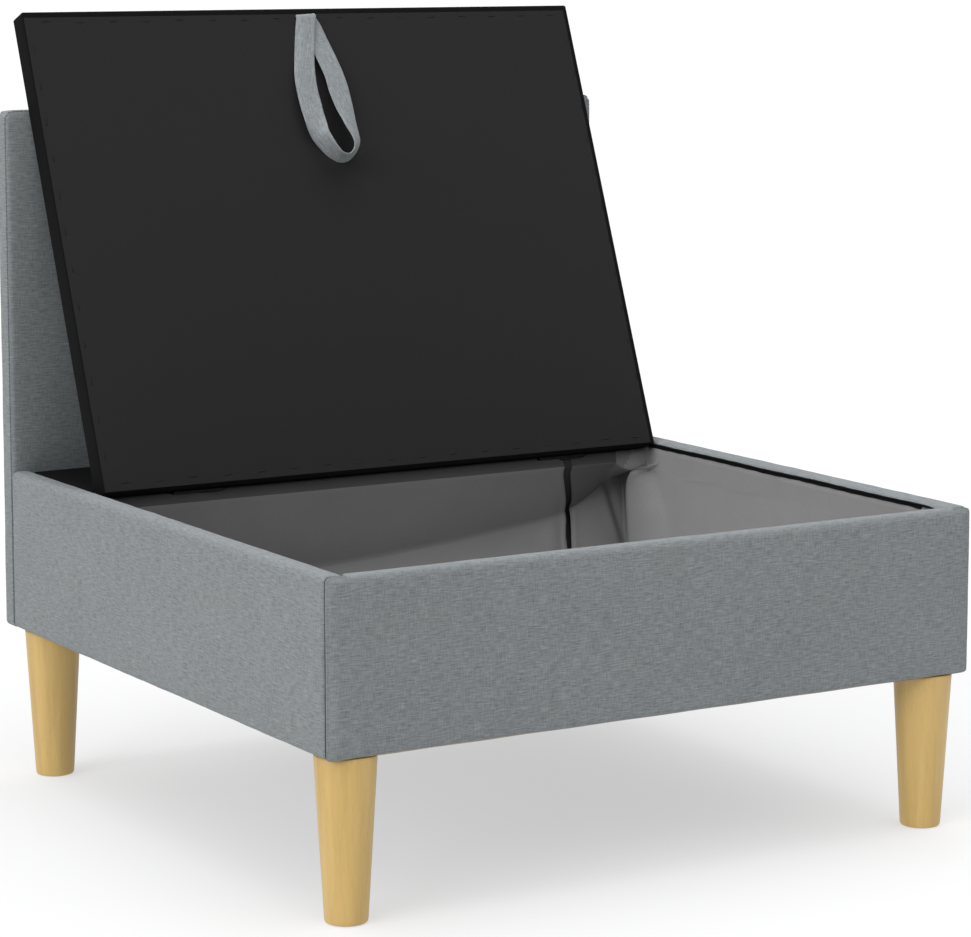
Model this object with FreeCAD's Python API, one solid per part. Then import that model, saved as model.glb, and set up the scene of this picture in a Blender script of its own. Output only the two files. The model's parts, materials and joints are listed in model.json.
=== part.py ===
import FreeCAD, Part
import math
import os
from FreeCAD import Vector

# One-seat storage sofa module with an open lid.  All lengths in millimetres.
# X runs left to right, Y from the front to the back, Z up from the floor.
# The working coordinates have X = 0 and Y = 0 at the front left corner of the
# seat box.  The origin is moved at the end to the middle of the footprint of
# the object as it stands with its lid open, on the floor.

# ---------------------------------------------------------------- dimensions
WIDTH = 750.0            # overall width
SEAT_DEPTH = 720.0       # front face of the seat box to the backrest's face
BACK_T = 26.0            # thickness of the backrest panel
RAIL_BOTTOM = 162.0      # underside of the seat box
RAIL_TOP = 334.0         # top of the rails, and of the seat platform
BACK_TOP = 728.0         # top of the backrest
SIDE_T = 24.0            # upholstered side rail
FRONT_T = 20.0           # upholstered front rail
BOARD = 15.0             # boards of the seat box, the lid and the backrest
FABRIC = 1.2             # cover fabric
RAIL_R = 6.0             # rounding of the padded rails
BACK_R = 10.0            # rounding of the padded backrest
HEM = 1.0                # gap between a board's lower edge and the cover's

LID_W = 696.0            # lid, over its black cover
LID_FRONT = 23.5         # lid's front edge when it is shut
LID_REAR = 555.5         # lid's rear edge when it is shut
LID_T = 27.0             # lid over everything
PAD = 10.0               # felt pad on the lid and on the rear deck
SKIN = 1.0               # black non-woven cover
HINGE_Y = 557.0          # hinge line
OPEN_DEG = 111.3         # travel of the lid from shut to leaning on the back

LEAF_T = 1.2             # hinge leaf
BARREL_R = 3.0
PIN_R = 1.5
PIN_CLEAR = 0.05
HINGE_W = 60.0
HINGE_X = (145.0, 605.0)

LEG_X = 35.5             # leg axis from the side face
LEG_Y_FRONT = 32.0
LEG_Y_BACK = 697.0
LEG_R_TOP = 30.2
LEG_R_FOOT = 20.8
GLIDE_T = 2.0
GLIDE_R = 17.0

STRAP_W = 24.0           # strap width
STRAP_X = 375.0          # strap in the middle of the lid

# ------------------------------------------------------------- derived values
LID_BOTTOM = RAIL_TOP - LID_T                      # 307
BOARD_Z0 = LID_BOTTOM + SKIN                       # 308
BOARD_Z1 = BOARD_Z0 + BOARD                        # 323
PAD_Z1 = BOARD_Z1 + PAD                            # 333
DECK_T = 9.0                                       # thinner board of the rear deck
DECK_Z0 = BOARD_Z1 - DECK_T                        # 314
HINGE_Z = BOARD_Z1 + BARREL_R + 0.1                # hinge axis height
LID_X0 = (WIDTH - LID_W) / 2.0
LID_X1 = WIDTH - LID_X0
SIDE_FOAM = SIDE_T - BOARD - 2.0 * FABRIC
FRONT_FOAM = FRONT_T - BOARD - 2.0 * FABRIC

parts = {}


def box(x0, x1, y0, y1, z0, z1):
    return Part.makeBox(x1 - x0, y1 - y0, z1 - z0, Vector(x0, y0, z0))


def rounded(shape, radius, pick):
    """Round the straight edges that pick(direction, middle) accepts."""
    edges = []
    for e in shape.Edges:
        a, b = e.Vertexes[0].Point, e.Vertexes[-1].Point
        d = b - a
        if d.Length < 1e-6:
            continue
        d.normalize()
        m = (a + b) * 0.5
        if pick(d, m):
            edges.append(e)
    return shape.makeFillet(radius, edges)


def cyl(r, h, pos, axis):
    return Part.makeCylinder(r, h, Vector(*pos), Vector(*axis))


def plate(points, x0, x1):
    """A flat-sided bar along X with the given (y, z) outline."""
    pts = [Vector(x0, y, z) for y, z in points]
    face = Part.Face(Part.makePolygon(pts + [pts[0]]))
    return face.extrude(Vector(x1 - x0, 0, 0))


def group(shapes):
    return Part.makeCompound(shapes)


def near(a, b):
    return abs(a - b) < 1e-3


# ------------------------------------------------------------ seat box boards
SIDE_IN = SIDE_FOAM + FABRIC                       # outer face of a side board
FRONT_IN = FRONT_FOAM + FABRIC                     # outer face of the front one
BZ0 = RAIL_BOTTOM + HEM
BZ1 = RAIL_TOP - FABRIC - 4.0

left_board = box(SIDE_IN, SIDE_IN + BOARD, FRONT_IN + BOARD, SEAT_DEPTH, BZ0, BZ1)
right_board = box(WIDTH - SIDE_IN - BOARD, WIDTH - SIDE_IN,
                  FRONT_IN + BOARD, SEAT_DEPTH, BZ0, BZ1)
front_board = box(4.0, WIDTH - 4.0, FRONT_IN, FRONT_IN + BOARD, BZ0, BZ1)
BIN_X0 = SIDE_IN + BOARD                           # inner faces of the boards
BIN_X1 = WIDTH - BIN_X0
BIN_Y0 = FRONT_IN + BOARD
REAR_Y0 = SEAT_DEPTH - BOARD
rear_board = box(BIN_X0, BIN_X1, REAR_Y0, SEAT_DEPTH, BZ0, DECK_Z0)

# screws that hold the four boards together, heads under the padding
frame_screws = []
for z in (195.0, 245.0, 295.0):
    for x in (SIDE_IN + BOARD / 2, WIDTH - SIDE_IN - BOARD / 2):
        frame_screws.append(cyl(2.5, 48.0, (x, FRONT_IN + 2.0, z), (0, 1, 0)).fuse(
            cyl(4.5, 2.0, (x, FRONT_IN, z), (0, 1, 0))).removeSplitter())
    yb = REAR_Y0 + BOARD / 2
    frame_screws.append(cyl(2.5, 48.0, (SIDE_IN + 2.0, yb, z), (1, 0, 0)).fuse(
        cyl(4.5, 2.0, (SIDE_IN, yb, z), (1, 0, 0))).removeSplitter())
    frame_screws.append(cyl(2.5, 48.0, (WIDTH - SIDE_IN - 2.0, yb, z), (-1, 0, 0)).fuse(
        cyl(4.5, 2.0, (WIDTH - SIDE_IN, yb, z), (-1, 0, 0))).removeSplitter())
frame_screws = group(frame_screws)

# bolts that hold the backrest to the rear board
bolts = []
for x in (120.0, 630.0):
    for z in (200.0, 270.0):
        shank = cyl(4.0, 40.0, (x, REAR_Y0 - 2.0, z), (0, 1, 0))
        washer = cyl(9.0, 1.6, (x, REAR_Y0 - 1.6, z), (0, 1, 0))
        pts = []
        for k in range(7):
            a = math.radians(60.0 * k)
            pts.append(Vector(x + 7.5 * math.cos(a), REAR_Y0 - 7.0, z + 7.5 * math.sin(a)))
        head = Part.Face(Part.makePolygon(pts)).extrude(Vector(0, 5.4, 0))
        bolts.append(shank.fuse([washer, head]).removeSplitter())
backrest_bolts = group(bolts)

rear_board = rear_board.cut(backrest_bolts).cut(frame_screws)
left_board = left_board.cut(frame_screws)
right_board = right_board.cut(frame_screws)
front_board = front_board.cut(frame_screws)

# ------------------------------------------------------------- rail padding
left_foam = box(FABRIC, SIDE_IN, FRONT_T, SEAT_DEPTH, BZ0, RAIL_TOP - FABRIC).fuse(
    box(SIDE_IN, SIDE_IN + BOARD, FRONT_T, SEAT_DEPTH, BZ1, RAIL_TOP - FABRIC)).removeSplitter()
left_foam = rounded(left_foam, RAIL_R - FABRIC, lambda d, m: abs(d.y) > 0.99 and
                    near(m.x, FABRIC) and near(m.z, RAIL_TOP - FABRIC))
right_foam = left_foam.mirror(Vector(WIDTH / 2, 0, 0), Vector(1, 0, 0))
front_foam = box(FABRIC, WIDTH - FABRIC, FABRIC, FRONT_T - FABRIC, BZ0, RAIL_TOP - FABRIC)
front_foam = rounded(front_foam, RAIL_R - FABRIC, lambda d, m: (
    abs(d.x) > 0.99 and near(m.y, FABRIC) and near(m.z, RAIL_TOP - FABRIC)) or (
    abs(d.z) > 0.99 and near(m.y, FABRIC)))
front_foam = front_foam.cut(box(4.0, WIDTH - 4.0, FRONT_IN, FRONT_T, BZ0, BZ1))
# behind the corners the front padding stops where the side boards begin
front_foam = front_foam.cut(box(4.0, SIDE_T, FRONT_IN + BOARD, FRONT_T, BZ0, BZ1))
front_foam = front_foam.cut(box(WIDTH - SIDE_T, WIDTH - 4.0, FRONT_IN + BOARD, FRONT_T, BZ0, BZ1))

# ------------------------------------------------------------- rail covers
INNER_HEM = 290.0        # the covers turn down inside the box to this height
left_cover = box(0, SIDE_T, FRONT_T, SEAT_DEPTH, RAIL_BOTTOM, RAIL_TOP)
left_cover = rounded(left_cover, RAIL_R, lambda d, m: abs(d.y) > 0.99 and
                     near(m.x, 0) and near(m.z, RAIL_TOP))
left_cover = left_cover.cut(box(FABRIC, SIDE_T - FABRIC, FRONT_T, SEAT_DEPTH,
                                RAIL_BOTTOM - 1, RAIL_TOP - FABRIC - RAIL_R))
left_cover = left_cover.cut(left_foam).cut(box(SIDE_IN, SIDE_IN + BOARD, FRONT_T, SEAT_DEPTH,
                                               RAIL_BOTTOM - 1, RAIL_TOP - FABRIC - 1.0))
left_cover = left_cover.cut(box(SIDE_T - FABRIC - 0.001, SIDE_T + 1, FRONT_T, SEAT_DEPTH,
                                RAIL_BOTTOM - 1, INNER_HEM))
left_cover = left_cover.cut(rear_board).cut(frame_screws)
right_cover = left_cover.mirror(Vector(WIDTH / 2, 0, 0), Vector(1, 0, 0))

front_cover = box(0, WIDTH, 0, FRONT_T, RAIL_BOTTOM, RAIL_TOP)
front_cover = rounded(front_cover, RAIL_R, lambda d, m: (
    abs(d.x) > 0.99 and near(m.y, 0) and near(m.z, RAIL_TOP)) or (
    abs(d.z) > 0.99 and near(m.y, 0)))
front_cover = front_cover.cut(box(FABRIC + 1.0, WIDTH - FABRIC - 1.0, FABRIC + 0.4, FRONT_T - FABRIC,
                                  RAIL_BOTTOM - 1, BZ0))
front_cover = front_cover.cut(front_foam).cut(front_board).cut(frame_screws)
front_cover = front_cover.cut(box(4.0, WIDTH - 4.0, FRONT_IN, FRONT_IN + BOARD,
                                  RAIL_BOTTOM - 1, BZ0))
front_cover = front_cover.cut(box(SIDE_IN, SIDE_IN + BOARD, FRONT_T - FABRIC - 0.001, FRONT_T + 1,
                                  RAIL_BOTTOM - 1, BZ1))
front_cover = front_cover.cut(box(WIDTH - SIDE_IN - BOARD, WIDTH - SIDE_IN,
                                  FRONT_T - FABRIC - 0.001, FRONT_T + 1, RAIL_BOTTOM - 1, BZ1))
front_cover = front_cover.cut(box(SIDE_T, WIDTH - SIDE_T, FRONT_T - FABRIC - 0.001, FRONT_T + 1,
                                  RAIL_BOTTOM - 1, INNER_HEM))

# ---------------------------------------------------------------- backrest
BY0, BY1 = SEAT_DEPTH, SEAT_DEPTH + BACK_T
outer_back = box(0, WIDTH, BY0, BY1, RAIL_BOTTOM, BACK_TOP)
outer_back = rounded(outer_back, BACK_R, lambda d, m: (
    abs(d.x) > 0.99 and near(m.z, BACK_TOP)))
outer_back = rounded(outer_back, 3.0, lambda d, m: abs(d.z) > 0.99)
back_board = box(6.0, WIDTH - 6.0, BY0 + 6.2, BY0 + 6.2 + BOARD, BZ0, BACK_TOP - 6.2)
back_inner = box(FABRIC, WIDTH - FABRIC, BY0 + FABRIC, BY1 - FABRIC, BZ0, BACK_TOP - FABRIC)
back_inner = rounded(back_inner, BACK_R - FABRIC, lambda d, m: (
    abs(d.x) > 0.99 and near(m.z, BACK_TOP - FABRIC)))
back_inner = rounded(back_inner, 2.0, lambda d, m: abs(d.z) > 0.99)
back_foam = back_inner.cut(back_board).cut(backrest_bolts)
back_cover = outer_back.cut(back_inner).cut(back_board).cut(backrest_bolts)
back_cover = back_cover.cut(box(FABRIC + 2.0, WIDTH - FABRIC - 2.0, BY0 + FABRIC + 2.0,
                                BY1 - FABRIC - 2.0, RAIL_BOTTOM - 1, BZ0))
back_board = back_board.cut(backrest_bolts)

# ------------------------------------------------------- floor of the storage
PLATE_T = 13.0
PZ0, PZ1 = BZ0, BZ0 + PLATE_T                      # 163 .. 176
PLATE = 70.0
corner_plates = []
for x0 in (BIN_X0, BIN_X1 - PLATE):
    for y0 in (BIN_Y0, REAR_Y0 - PLATE):
        corner_plates.append(box(x0, x0 + PLATE, y0, y0 + PLATE, PZ0, PZ1))
leg_axes = [(x, y) for x in (LEG_X, WIDTH - LEG_X) for y in (LEG_Y_FRONT, LEG_Y_BACK)]
hanger_bolts = []
for x, y in leg_axes:
    hanger_bolts.append(cyl(4.0, PZ1 - 128.0, (x, y, 128.0), (0, 0, 1)))
hanger_bolts = group(hanger_bolts)
corner_plates = group([c.cut(hanger_bolts) for c in corner_plates])

cleat_left = box(BIN_X0, BIN_X0 + 20.0, BIN_Y0 + PLATE, REAR_Y0 - PLATE, PZ0, PZ1)
cleat_right = box(BIN_X1 - 20.0, BIN_X1, BIN_Y0 + PLATE, REAR_Y0 - PLATE, PZ0, PZ1)
cross_slat = box(BIN_X0 + 20.0, BIN_X1 - 20.0, 320.0, 390.0, PZ0, PZ1)
FLOOR_T = 6.0
floor_panel = box(BIN_X0, BIN_X1, BIN_Y0, 690.0, PZ1, PZ1 + FLOOR_T)
FLOOR_Z = PZ1 + FLOOR_T                            # 182

dust_cover = box(BIN_X0 - 12.0, BIN_X1 + 12.0, BIN_Y0 - 12.0, SEAT_DEPTH - 4.0,
                 RAIL_BOTTOM, RAIL_BOTTOM + HEM).cut(hanger_bolts)

front_cover = front_cover.cut(corner_plates).cut(floor_panel).cut(dust_cover)

# -------------------------------------------------------------------- liner
# a bag of grey non-woven: front, two sides, bottom, back and a sloping flap
# that runs up to the front edge of the rear deck
LIN = 1.0
LX0, LX1 = SIDE_T, WIDTH - SIDE_T
LY0 = FRONT_T
LY1 = 606.0
LIN_TOP = 328.6
FLAP_TOP_Y = 560.0
FLAP_LOW_Z = 200.0
liner_bottom = box(LX0, LX1, LY0, LY1 + LIN, FLOOR_Z, FLOOR_Z + LIN)
liner_front = box(LX0, LX1, LY0, LY0 + LIN, FLOOR_Z + LIN, LIN_TOP)
liner_back = box(LX0, LX1, LY1, LY1 + LIN, FLOOR_Z + LIN, FLAP_LOW_Z)
# the flap curves in under the deck, then runs up the deck's front edge
FLAP_IN = [(LY1, FLAP_LOW_Z), (600.3, 216.0), (592.6, 234.0), (584.6, 252.0), (576.4, 270.0),
           (568.4, 288.0), (560.8, 305.0), (557.6, 312.0), (557.0, 313.4)]
FLAP_OUT = [(558.0, DECK_Z0 - 0.2), (558.6, 312.4), (561.8, 305.4), (569.4, 288.4), (577.4, 270.4),
            (585.6, 252.4), (593.6, 234.4), (601.3, 216.3), (LY1 + LIN, FLAP_LOW_Z)]
liner_flap = plate(FLAP_IN + [(557.0, BOARD_Z1 - 0.2), (558.0, BOARD_Z1 - 0.2)] + FLAP_OUT, LX0 + LIN, LX1 - LIN)
# the side walls run on behind the flap, their corner cut round under the deck
SIDE_REAR = [(LY1, 262.0), (605.0, 276.0), (601.5, 288.0), (594.5, 298.5), (584.0, 306.5), (572.0, 311.0), (560.5, 312.8)]
side_outline = ([(LY0 + LIN, FLOOR_Z + LIN), (LY1, FLOOR_Z + LIN)] + SIDE_REAR
                + [(FLAP_TOP_Y - 4.0, DECK_Z0 - 1.2), (FLAP_TOP_Y - 4.0, LIN_TOP), (LY0 + LIN, LIN_TOP)])
liner_left = plate(side_outline, LX0, LX0 + LIN)
liner_right = plate(side_outline, LX1 - LIN, LX1)

# battens screwed to the front board through the liner; the shut lid rests on
# them, and the space between them leaves room for the strap
REST_Z1 = LID_BOTTOM - 0.5
lid_rest_left = box(LX0 + LIN, STRAP_X - 50.0, LY0 + LIN, LY0 + LIN + 20.0, REST_Z1 - 20.0, REST_Z1)
lid_rest_right = box(STRAP_X + 50.0, LX1 - LIN, LY0 + LIN, LY0 + LIN + 20.0, REST_Z1 - 20.0, REST_Z1)

# black tape along the top hem of the liner
TAPE_T = 1.4
TZ0, TZ1 = LIN_TOP, 333.4
liner_tape = box(LX0, LX0 + TAPE_T, LY0, FLAP_TOP_Y - 4.0, TZ0, TZ1).fuse(
    [box(LX1 - TAPE_T, LX1, LY0, FLAP_TOP_Y - 4.0, TZ0, TZ1),
     box(LX0, LX1, LY0, LY0 + TAPE_T, TZ0, TZ1)]).removeSplitter()

# ----------------------------------------------------------------- rear deck
DECK_Y0 = HINGE_Y + (HINGE_Y - LID_REAR)
DECK_PAD_Y0 = HINGE_Y + 14.5
deck_board = box(SIDE_T, WIDTH - SIDE_T, DECK_Y0, SEAT_DEPTH, DECK_Z0, BOARD_Z1)
deck_pad = box(SIDE_T + SKIN, WIDTH - SIDE_T - SKIN, DECK_PAD_Y0, SEAT_DEPTH, BOARD_Z1, PAD_Z1)
deck_cover = box(SIDE_T, WIDTH - SIDE_T, DECK_PAD_Y0 - SKIN, SEAT_DEPTH, BOARD_Z1, RAIL_TOP)
deck_cover = rounded(deck_cover, 2.0, lambda d, m: abs(d.x) > 0.99 and near(m.z, RAIL_TOP)
                     and near(m.y, DECK_PAD_Y0 - SKIN))
deck_beam = box(SIDE_T, WIDTH - SIDE_T, 626.0, 646.0, DECK_Z0 - 20.0, DECK_Z0)
deck_cleat_left = box(SIDE_T, SIDE_T + 20.0, 646.0, REAR_Y0, DECK_Z0 - 20.0, DECK_Z0)
deck_cleat_right = box(WIDTH - SIDE_T - 20.0, WIDTH - SIDE_T, 646.0, REAR_Y0, DECK_Z0 - 20.0, DECK_Z0)

# ------------------------------------------------------------------ the lid
lid_board = box(LID_X0 + SKIN, LID_X1 - SKIN, LID_FRONT + SKIN, LID_REAR - SKIN,
                BOARD_Z0, BOARD_Z1)
LID_PAD_Y1 = HINGE_Y - 9.0
lid_pad = box(LID_X0 + SKIN, LID_X1 - SKIN, LID_FRONT + SKIN, LID_PAD_Y1, BOARD_Z1, PAD_Z1)
cover_top = box(LID_X0, LID_X1, LID_FRONT, LID_PAD_Y1 + SKIN, LID_BOTTOM, RAIL_TOP)
cover_top = rounded(cover_top, 2.5, lambda d, m: near(m.z, RAIL_TOP) and abs(d.z) < 0.01
                    and not near(m.y, LID_PAD_Y1 + SKIN))
cover_rear = box(LID_X0, LID_X1, LID_PAD_Y1, LID_REAR, LID_BOTTOM, BOARD_Z1)
lid_lining = box(LID_X0 + 6.0, LID_X1 - 6.0, LID_FRONT + 6.0, LID_REAR - 6.0,
                 LID_BOTTOM, BOARD_Z0)
lid_cover = cover_top.fuse(cover_rear).removeSplitter()
lid_cover = lid_cover.cut(lid_board).cut(lid_pad).cut(lid_lining)

# staples round the underside of the lid: a row near each edge
STAPLE = 10.0
INSET = 9.0
INSET_SIDE = 8.0
staples = []


def staple(x, y, along_x):
    w = 0.9
    h = STAPLE / 2
    if along_x:
        crown = box(x - h, x + h, y - w / 2, y + w / 2, LID_BOTTOM - 0.5, LID_BOTTOM)
        legs = [box(x - h, x - h + w, y - w / 2, y + w / 2, LID_BOTTOM, LID_BOTTOM + 7.0),
                box(x + h - w, x + h, y - w / 2, y + w / 2, LID_BOTTOM, LID_BOTTOM + 7.0)]
    else:
        crown = box(x - w / 2, x + w / 2, y - h, y + h, LID_BOTTOM - 0.5, LID_BOTTOM)
        legs = [box(x - w / 2, x + w / 2, y - h, y - h + w, LID_BOTTOM, LID_BOTTOM + 7.0),
                box(x - w / 2, x + w / 2, y + h - w, y + h, LID_BOTTOM, LID_BOTTOM + 7.0)]
    return crown.fuse(legs).removeSplitter()


N_ACROSS = 17
for k in range(N_ACROSS):
    x = LID_X0 + 26.0 + (LID_W - 52.0) * k / (N_ACROSS - 1)
    if abs(x - STRAP_X) > 30.0:
        staples.append(staple(x, LID_FRONT + INSET, True))
    staples.append(staple(x, LID_REAR - INSET, True))
N_DOWN = 12
for k in range(N_DOWN):
    y = LID_FRONT + 40.0 + (LID_REAR - LID_FRONT - 80.0) * k / (N_DOWN - 1)
    staples.append(staple(LID_X0 + INSET_SIDE, y, False))
    staples.append(staple(LID_X1 - INSET_SIDE, y, False))
lid_staples = group(staples)

# ------------------------------------------------------------------- hinges
# butt hinges screwed to the tops of the two boards, under the pads
K = HINGE_W / 3.0
GAP = 0.3
PLATE_Y = 25.0
LZ0 = HINGE_Z - BARREL_R
LZ1 = LZ0 + LEAF_T


def barrel(x0, x1):
    return cyl(BARREL_R, x1 - x0, (x0, HINGE_Y, HINGE_Z), (1, 0, 0))


def bore(x0, x1):
    return cyl(PIN_R + PIN_CLEAR, x1 - x0 + 2.0, (x0 - 1.0, HINGE_Y, HINGE_Z), (1, 0, 0))


hinges = {}
base_screws = []
lid_screws = []
for name, xc in (("left", HINGE_X[0]), ("right", HINGE_X[1])):
    x0, x1 = xc - HINGE_W / 2, xc + HINGE_W / 2
    k0, k1 = x0 + K, x1 - K
    # leaf on the deck, with the two outer knuckles
    wide = box(x0, x1, HINGE_Y + BARREL_R + 0.4, HINGE_Y + PLATE_Y, LZ0, LZ1)
    arms = [box(x0, k0, HINGE_Y, HINGE_Y + BARREL_R + 0.4, LZ0, LZ1),
            box(k1, x1, HINGE_Y, HINGE_Y + BARREL_R + 0.4, LZ0, LZ1),
            barrel(x0, k0), barrel(k1, x1)]
    base = wide.fuse(arms).removeSplitter().cut(bore(x0, x1))
    # leaf on the lid, with the middle knuckle
    wide = box(x0, x1, HINGE_Y - PLATE_Y, HINGE_Y - BARREL_R - 0.4, LZ0, LZ1)
    arms = [box(k0 + GAP, k1 - GAP, HINGE_Y - BARREL_R - 0.4, HINGE_Y, LZ0, LZ1),
            barrel(k0 + GAP, k1 - GAP)]
    moving = wide.fuse(arms).removeSplitter().cut(bore(x0, x1))
    pin = cyl(PIN_R, HINGE_W, (x0, HINGE_Y, HINGE_Z), (1, 0, 0))
    for dx in (-20.0, 20.0):
        for sign, lst in ((1, base_screws), (-1, lid_screws)):
            y = HINGE_Y + sign * 17.0
            deep = 11.0 if sign < 0 else 7.5
            s = cyl(1.6, deep + 1.0, (xc + dx, y, BOARD_Z1 - deep), (0, 0, 1)).fuse(
                Part.makeCone(1.6, 3.4, LEAF_T + 0.05, Vector(xc + dx, y, LZ0 - 0.05),
                              Vector(0, 0, 1))).removeSplitter()
            lst.append(s)
    hinges[name] = [base, moving, pin]
base_screws = group(base_screws)
lid_screws = group(lid_screws)
for name in hinges:
    hinges[name][0] = hinges[name][0].cut(base_screws)
    hinges[name][1] = hinges[name][1].cut(lid_screws)
deck_board = deck_board.cut(base_screws)
lid_board = lid_board.cut(lid_screws)
for xc in HINGE_X:
    pocket = box(xc - HINGE_W / 2 - 0.5, xc + HINGE_W / 2 + 0.5, HINGE_Y - PLATE_Y - 0.5,
                 HINGE_Y + PLATE_Y + 0.5, BOARD_Z1, LZ1 + 0.4)
    lid_pad = lid_pad.cut(pocket)
    deck_pad = deck_pad.cut(pocket)
    lid_cover = lid_cover.cut(pocket)
    deck_cover = deck_cover.cut(pocket)
deck_cover = deck_cover.cut(deck_pad).cut(box(SIDE_T + SKIN, WIDTH - SIDE_T - SKIN, DECK_PAD_Y0,
                                              SEAT_DEPTH + 1, BOARD_Z1 - 1, PAD_Z1))

# --------------------------------------------------------------------- legs
legs = {}
glides = []
for name, (x, y) in (("front_left", (LEG_X, LEG_Y_FRONT)),
                     ("front_right", (WIDTH - LEG_X, LEG_Y_FRONT)),
                     ("back_left", (LEG_X, LEG_Y_BACK)),
                     ("back_right", (WIDTH - LEG_X, LEG_Y_BACK))):
    leg = Part.makeCone(LEG_R_FOOT, LEG_R_TOP, RAIL_BOTTOM - GLIDE_T, Vector(x, y, GLIDE_T),
                        Vector(0, 0, 1))
    foot = [e for e in leg.Edges if near(e.BoundBox.ZMax, GLIDE_T) and e.BoundBox.ZLength < 1e-3]
    leg = leg.makeFillet(2.5, foot)
    legs[name] = leg.cut(hanger_bolts)
    glides.append(cyl(GLIDE_R, GLIDE_T, (x, y, 0.0), (0, 0, 1)))
leg_glides = group(glides)

# --------------------------------------------------------------- pull strap
# outline of the hanging loop, as (x from the strap's middle, distance down
# from the lid's front edge); it lies along the underside of the lid
STRAP_OUT = [(-12, 9), (-20, 13), (-33, 75), (-35, 90), (-36, 109), (-34, 136), (-32, 150),
             (-27, 165), (-18, 177), (-9, 184), (2, 187), (13, 184), (24, 179), (34, 171),
             (37, 162), (35, 145), (33, 127), (32, 100), (28, 82), (22, 61), (14, 35),
             (12, 20), (12, 9)]
STRAP_IN = [(-4, 60), (-9, 81), (-9, 100), (-8, 121), (-6, 138), (-4, 149), (0, 160),
            (7, 171), (14, 176), (20, 174), (22, 169), (20, 161), (13, 148), (11, 135),
            (6, 112), (4, 92), (1, 78)]
PIVOT_Y = LID_FRONT + 6.0
PIVOT_R = 1.5
PIVOT_Z = LID_BOTTOM - PIVOT_R - 0.4
STRAP_Z1 = LID_BOTTOM - 4.0
STRAP_T = 8.0


def outline(pts, z):
    v = [Vector(STRAP_X + a, LID_FRONT + s, z) for a, s in pts]
    return Part.Face(Part.makePolygon(v + [v[0]]))


loop = outline(STRAP_OUT, STRAP_Z1 - STRAP_T).extrude(Vector(0, 0, STRAP_T))
loop = loop.cut(outline(STRAP_IN, STRAP_Z1 - STRAP_T - 1).extrude(Vector(0, 0, STRAP_T + 2)))
fold = cyl(PIVOT_R, STRAP_W, (STRAP_X - STRAP_W / 2, PIVOT_Y, PIVOT_Z), (1, 0, 0))
neck = box(STRAP_X - STRAP_W / 2, STRAP_X + STRAP_W / 2, PIVOT_Y - 1.0, PIVOT_Y + 8.0,
           STRAP_Z1 - 2.0, PIVOT_Z)
pull_strap = loop.fuse([neck, fold]).removeSplitter()
# the strap's two sewn ends, stapled flat between the lid's board and lining
strap_tail = box(STRAP_X - STRAP_W / 2, STRAP_X + STRAP_W / 2, LID_FRONT + 6.5,
                 LID_FRONT + 46.0, BOARD_Z0, BOARD_Z0 + 2.4)
lid_board = lid_board.cut(strap_tail)

# ------------------------------------------------------------ open the lid
AXIS_P = Vector(0, HINGE_Y, HINGE_Z)
AXIS_D = Vector(1, 0, 0)


def opened(shape):
    s = shape.copy()
    s.rotate(AXIS_P, AXIS_D, -OPEN_DEG)
    return s


parts["front_rail_board"] = front_board
parts["left_rail_board"] = left_board
parts["right_rail_board"] = right_board
parts["rear_rail_board"] = rear_board
parts["frame_screws"] = frame_screws
parts["front_rail_foam"] = front_foam
parts["left_rail_foam"] = left_foam
parts["right_rail_foam"] = right_foam
parts["front_rail_cover"] = front_cover
parts["left_rail_cover"] = left_cover
parts["right_rail_cover"] = right_cover
parts["backrest_board"] = back_board
parts["backrest_foam"] = back_foam
parts["backrest_cover"] = back_cover
parts["backrest_bolts"] = backrest_bolts
parts["corner_plates"] = corner_plates
parts["floor_cleat_left"] = cleat_left
parts["floor_cleat_right"] = cleat_right
parts["floor_cross_slat"] = cross_slat
parts["floor_panel"] = floor_panel
parts["dust_cover"] = dust_cover
parts["liner_bottom"] = liner_bottom
parts["liner_front"] = liner_front
parts["liner_back"] = liner_back
parts["liner_flap"] = liner_flap
parts["liner_left"] = liner_left
parts["liner_right"] = liner_right
parts["liner_tape"] = liner_tape
parts["lid_rest_left"] = lid_rest_left
parts["lid_rest_right"] = lid_rest_right
parts["deck_board"] = deck_board
parts["deck_pad"] = deck_pad
parts["deck_cover"] = deck_cover
parts["deck_beam"] = deck_beam
parts["deck_cleat_left"] = deck_cleat_left
parts["deck_cleat_right"] = deck_cleat_right
for n in ("front_left", "front_right", "back_left", "back_right"):
    parts["leg_" + n] = legs[n]
parts["leg_glides"] = leg_glides
parts["hanger_bolts"] = hanger_bolts
for n in ("left", "right"):
    parts["hinge_%s_deck_leaf" % n] = hinges[n][0]
    parts["hinge_%s_pin" % n] = hinges[n][2]
parts["hinge_deck_screws"] = base_screws
moving = {
    "lid_board": lid_board,
    "lid_pad": lid_pad,
    "lid_cover": lid_cover,
    "lid_lining": lid_lining,
    "lid_staples": lid_staples,
    "hinge_left_lid_leaf": hinges["left"][1],
    "hinge_right_lid_leaf": hinges["right"][1],
    "hinge_lid_screws": lid_screws,
    "strap_tail": strap_tail,
    "pull_strap": pull_strap,
}
for n in moving:
    parts[n] = opened(moving[n])

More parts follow.
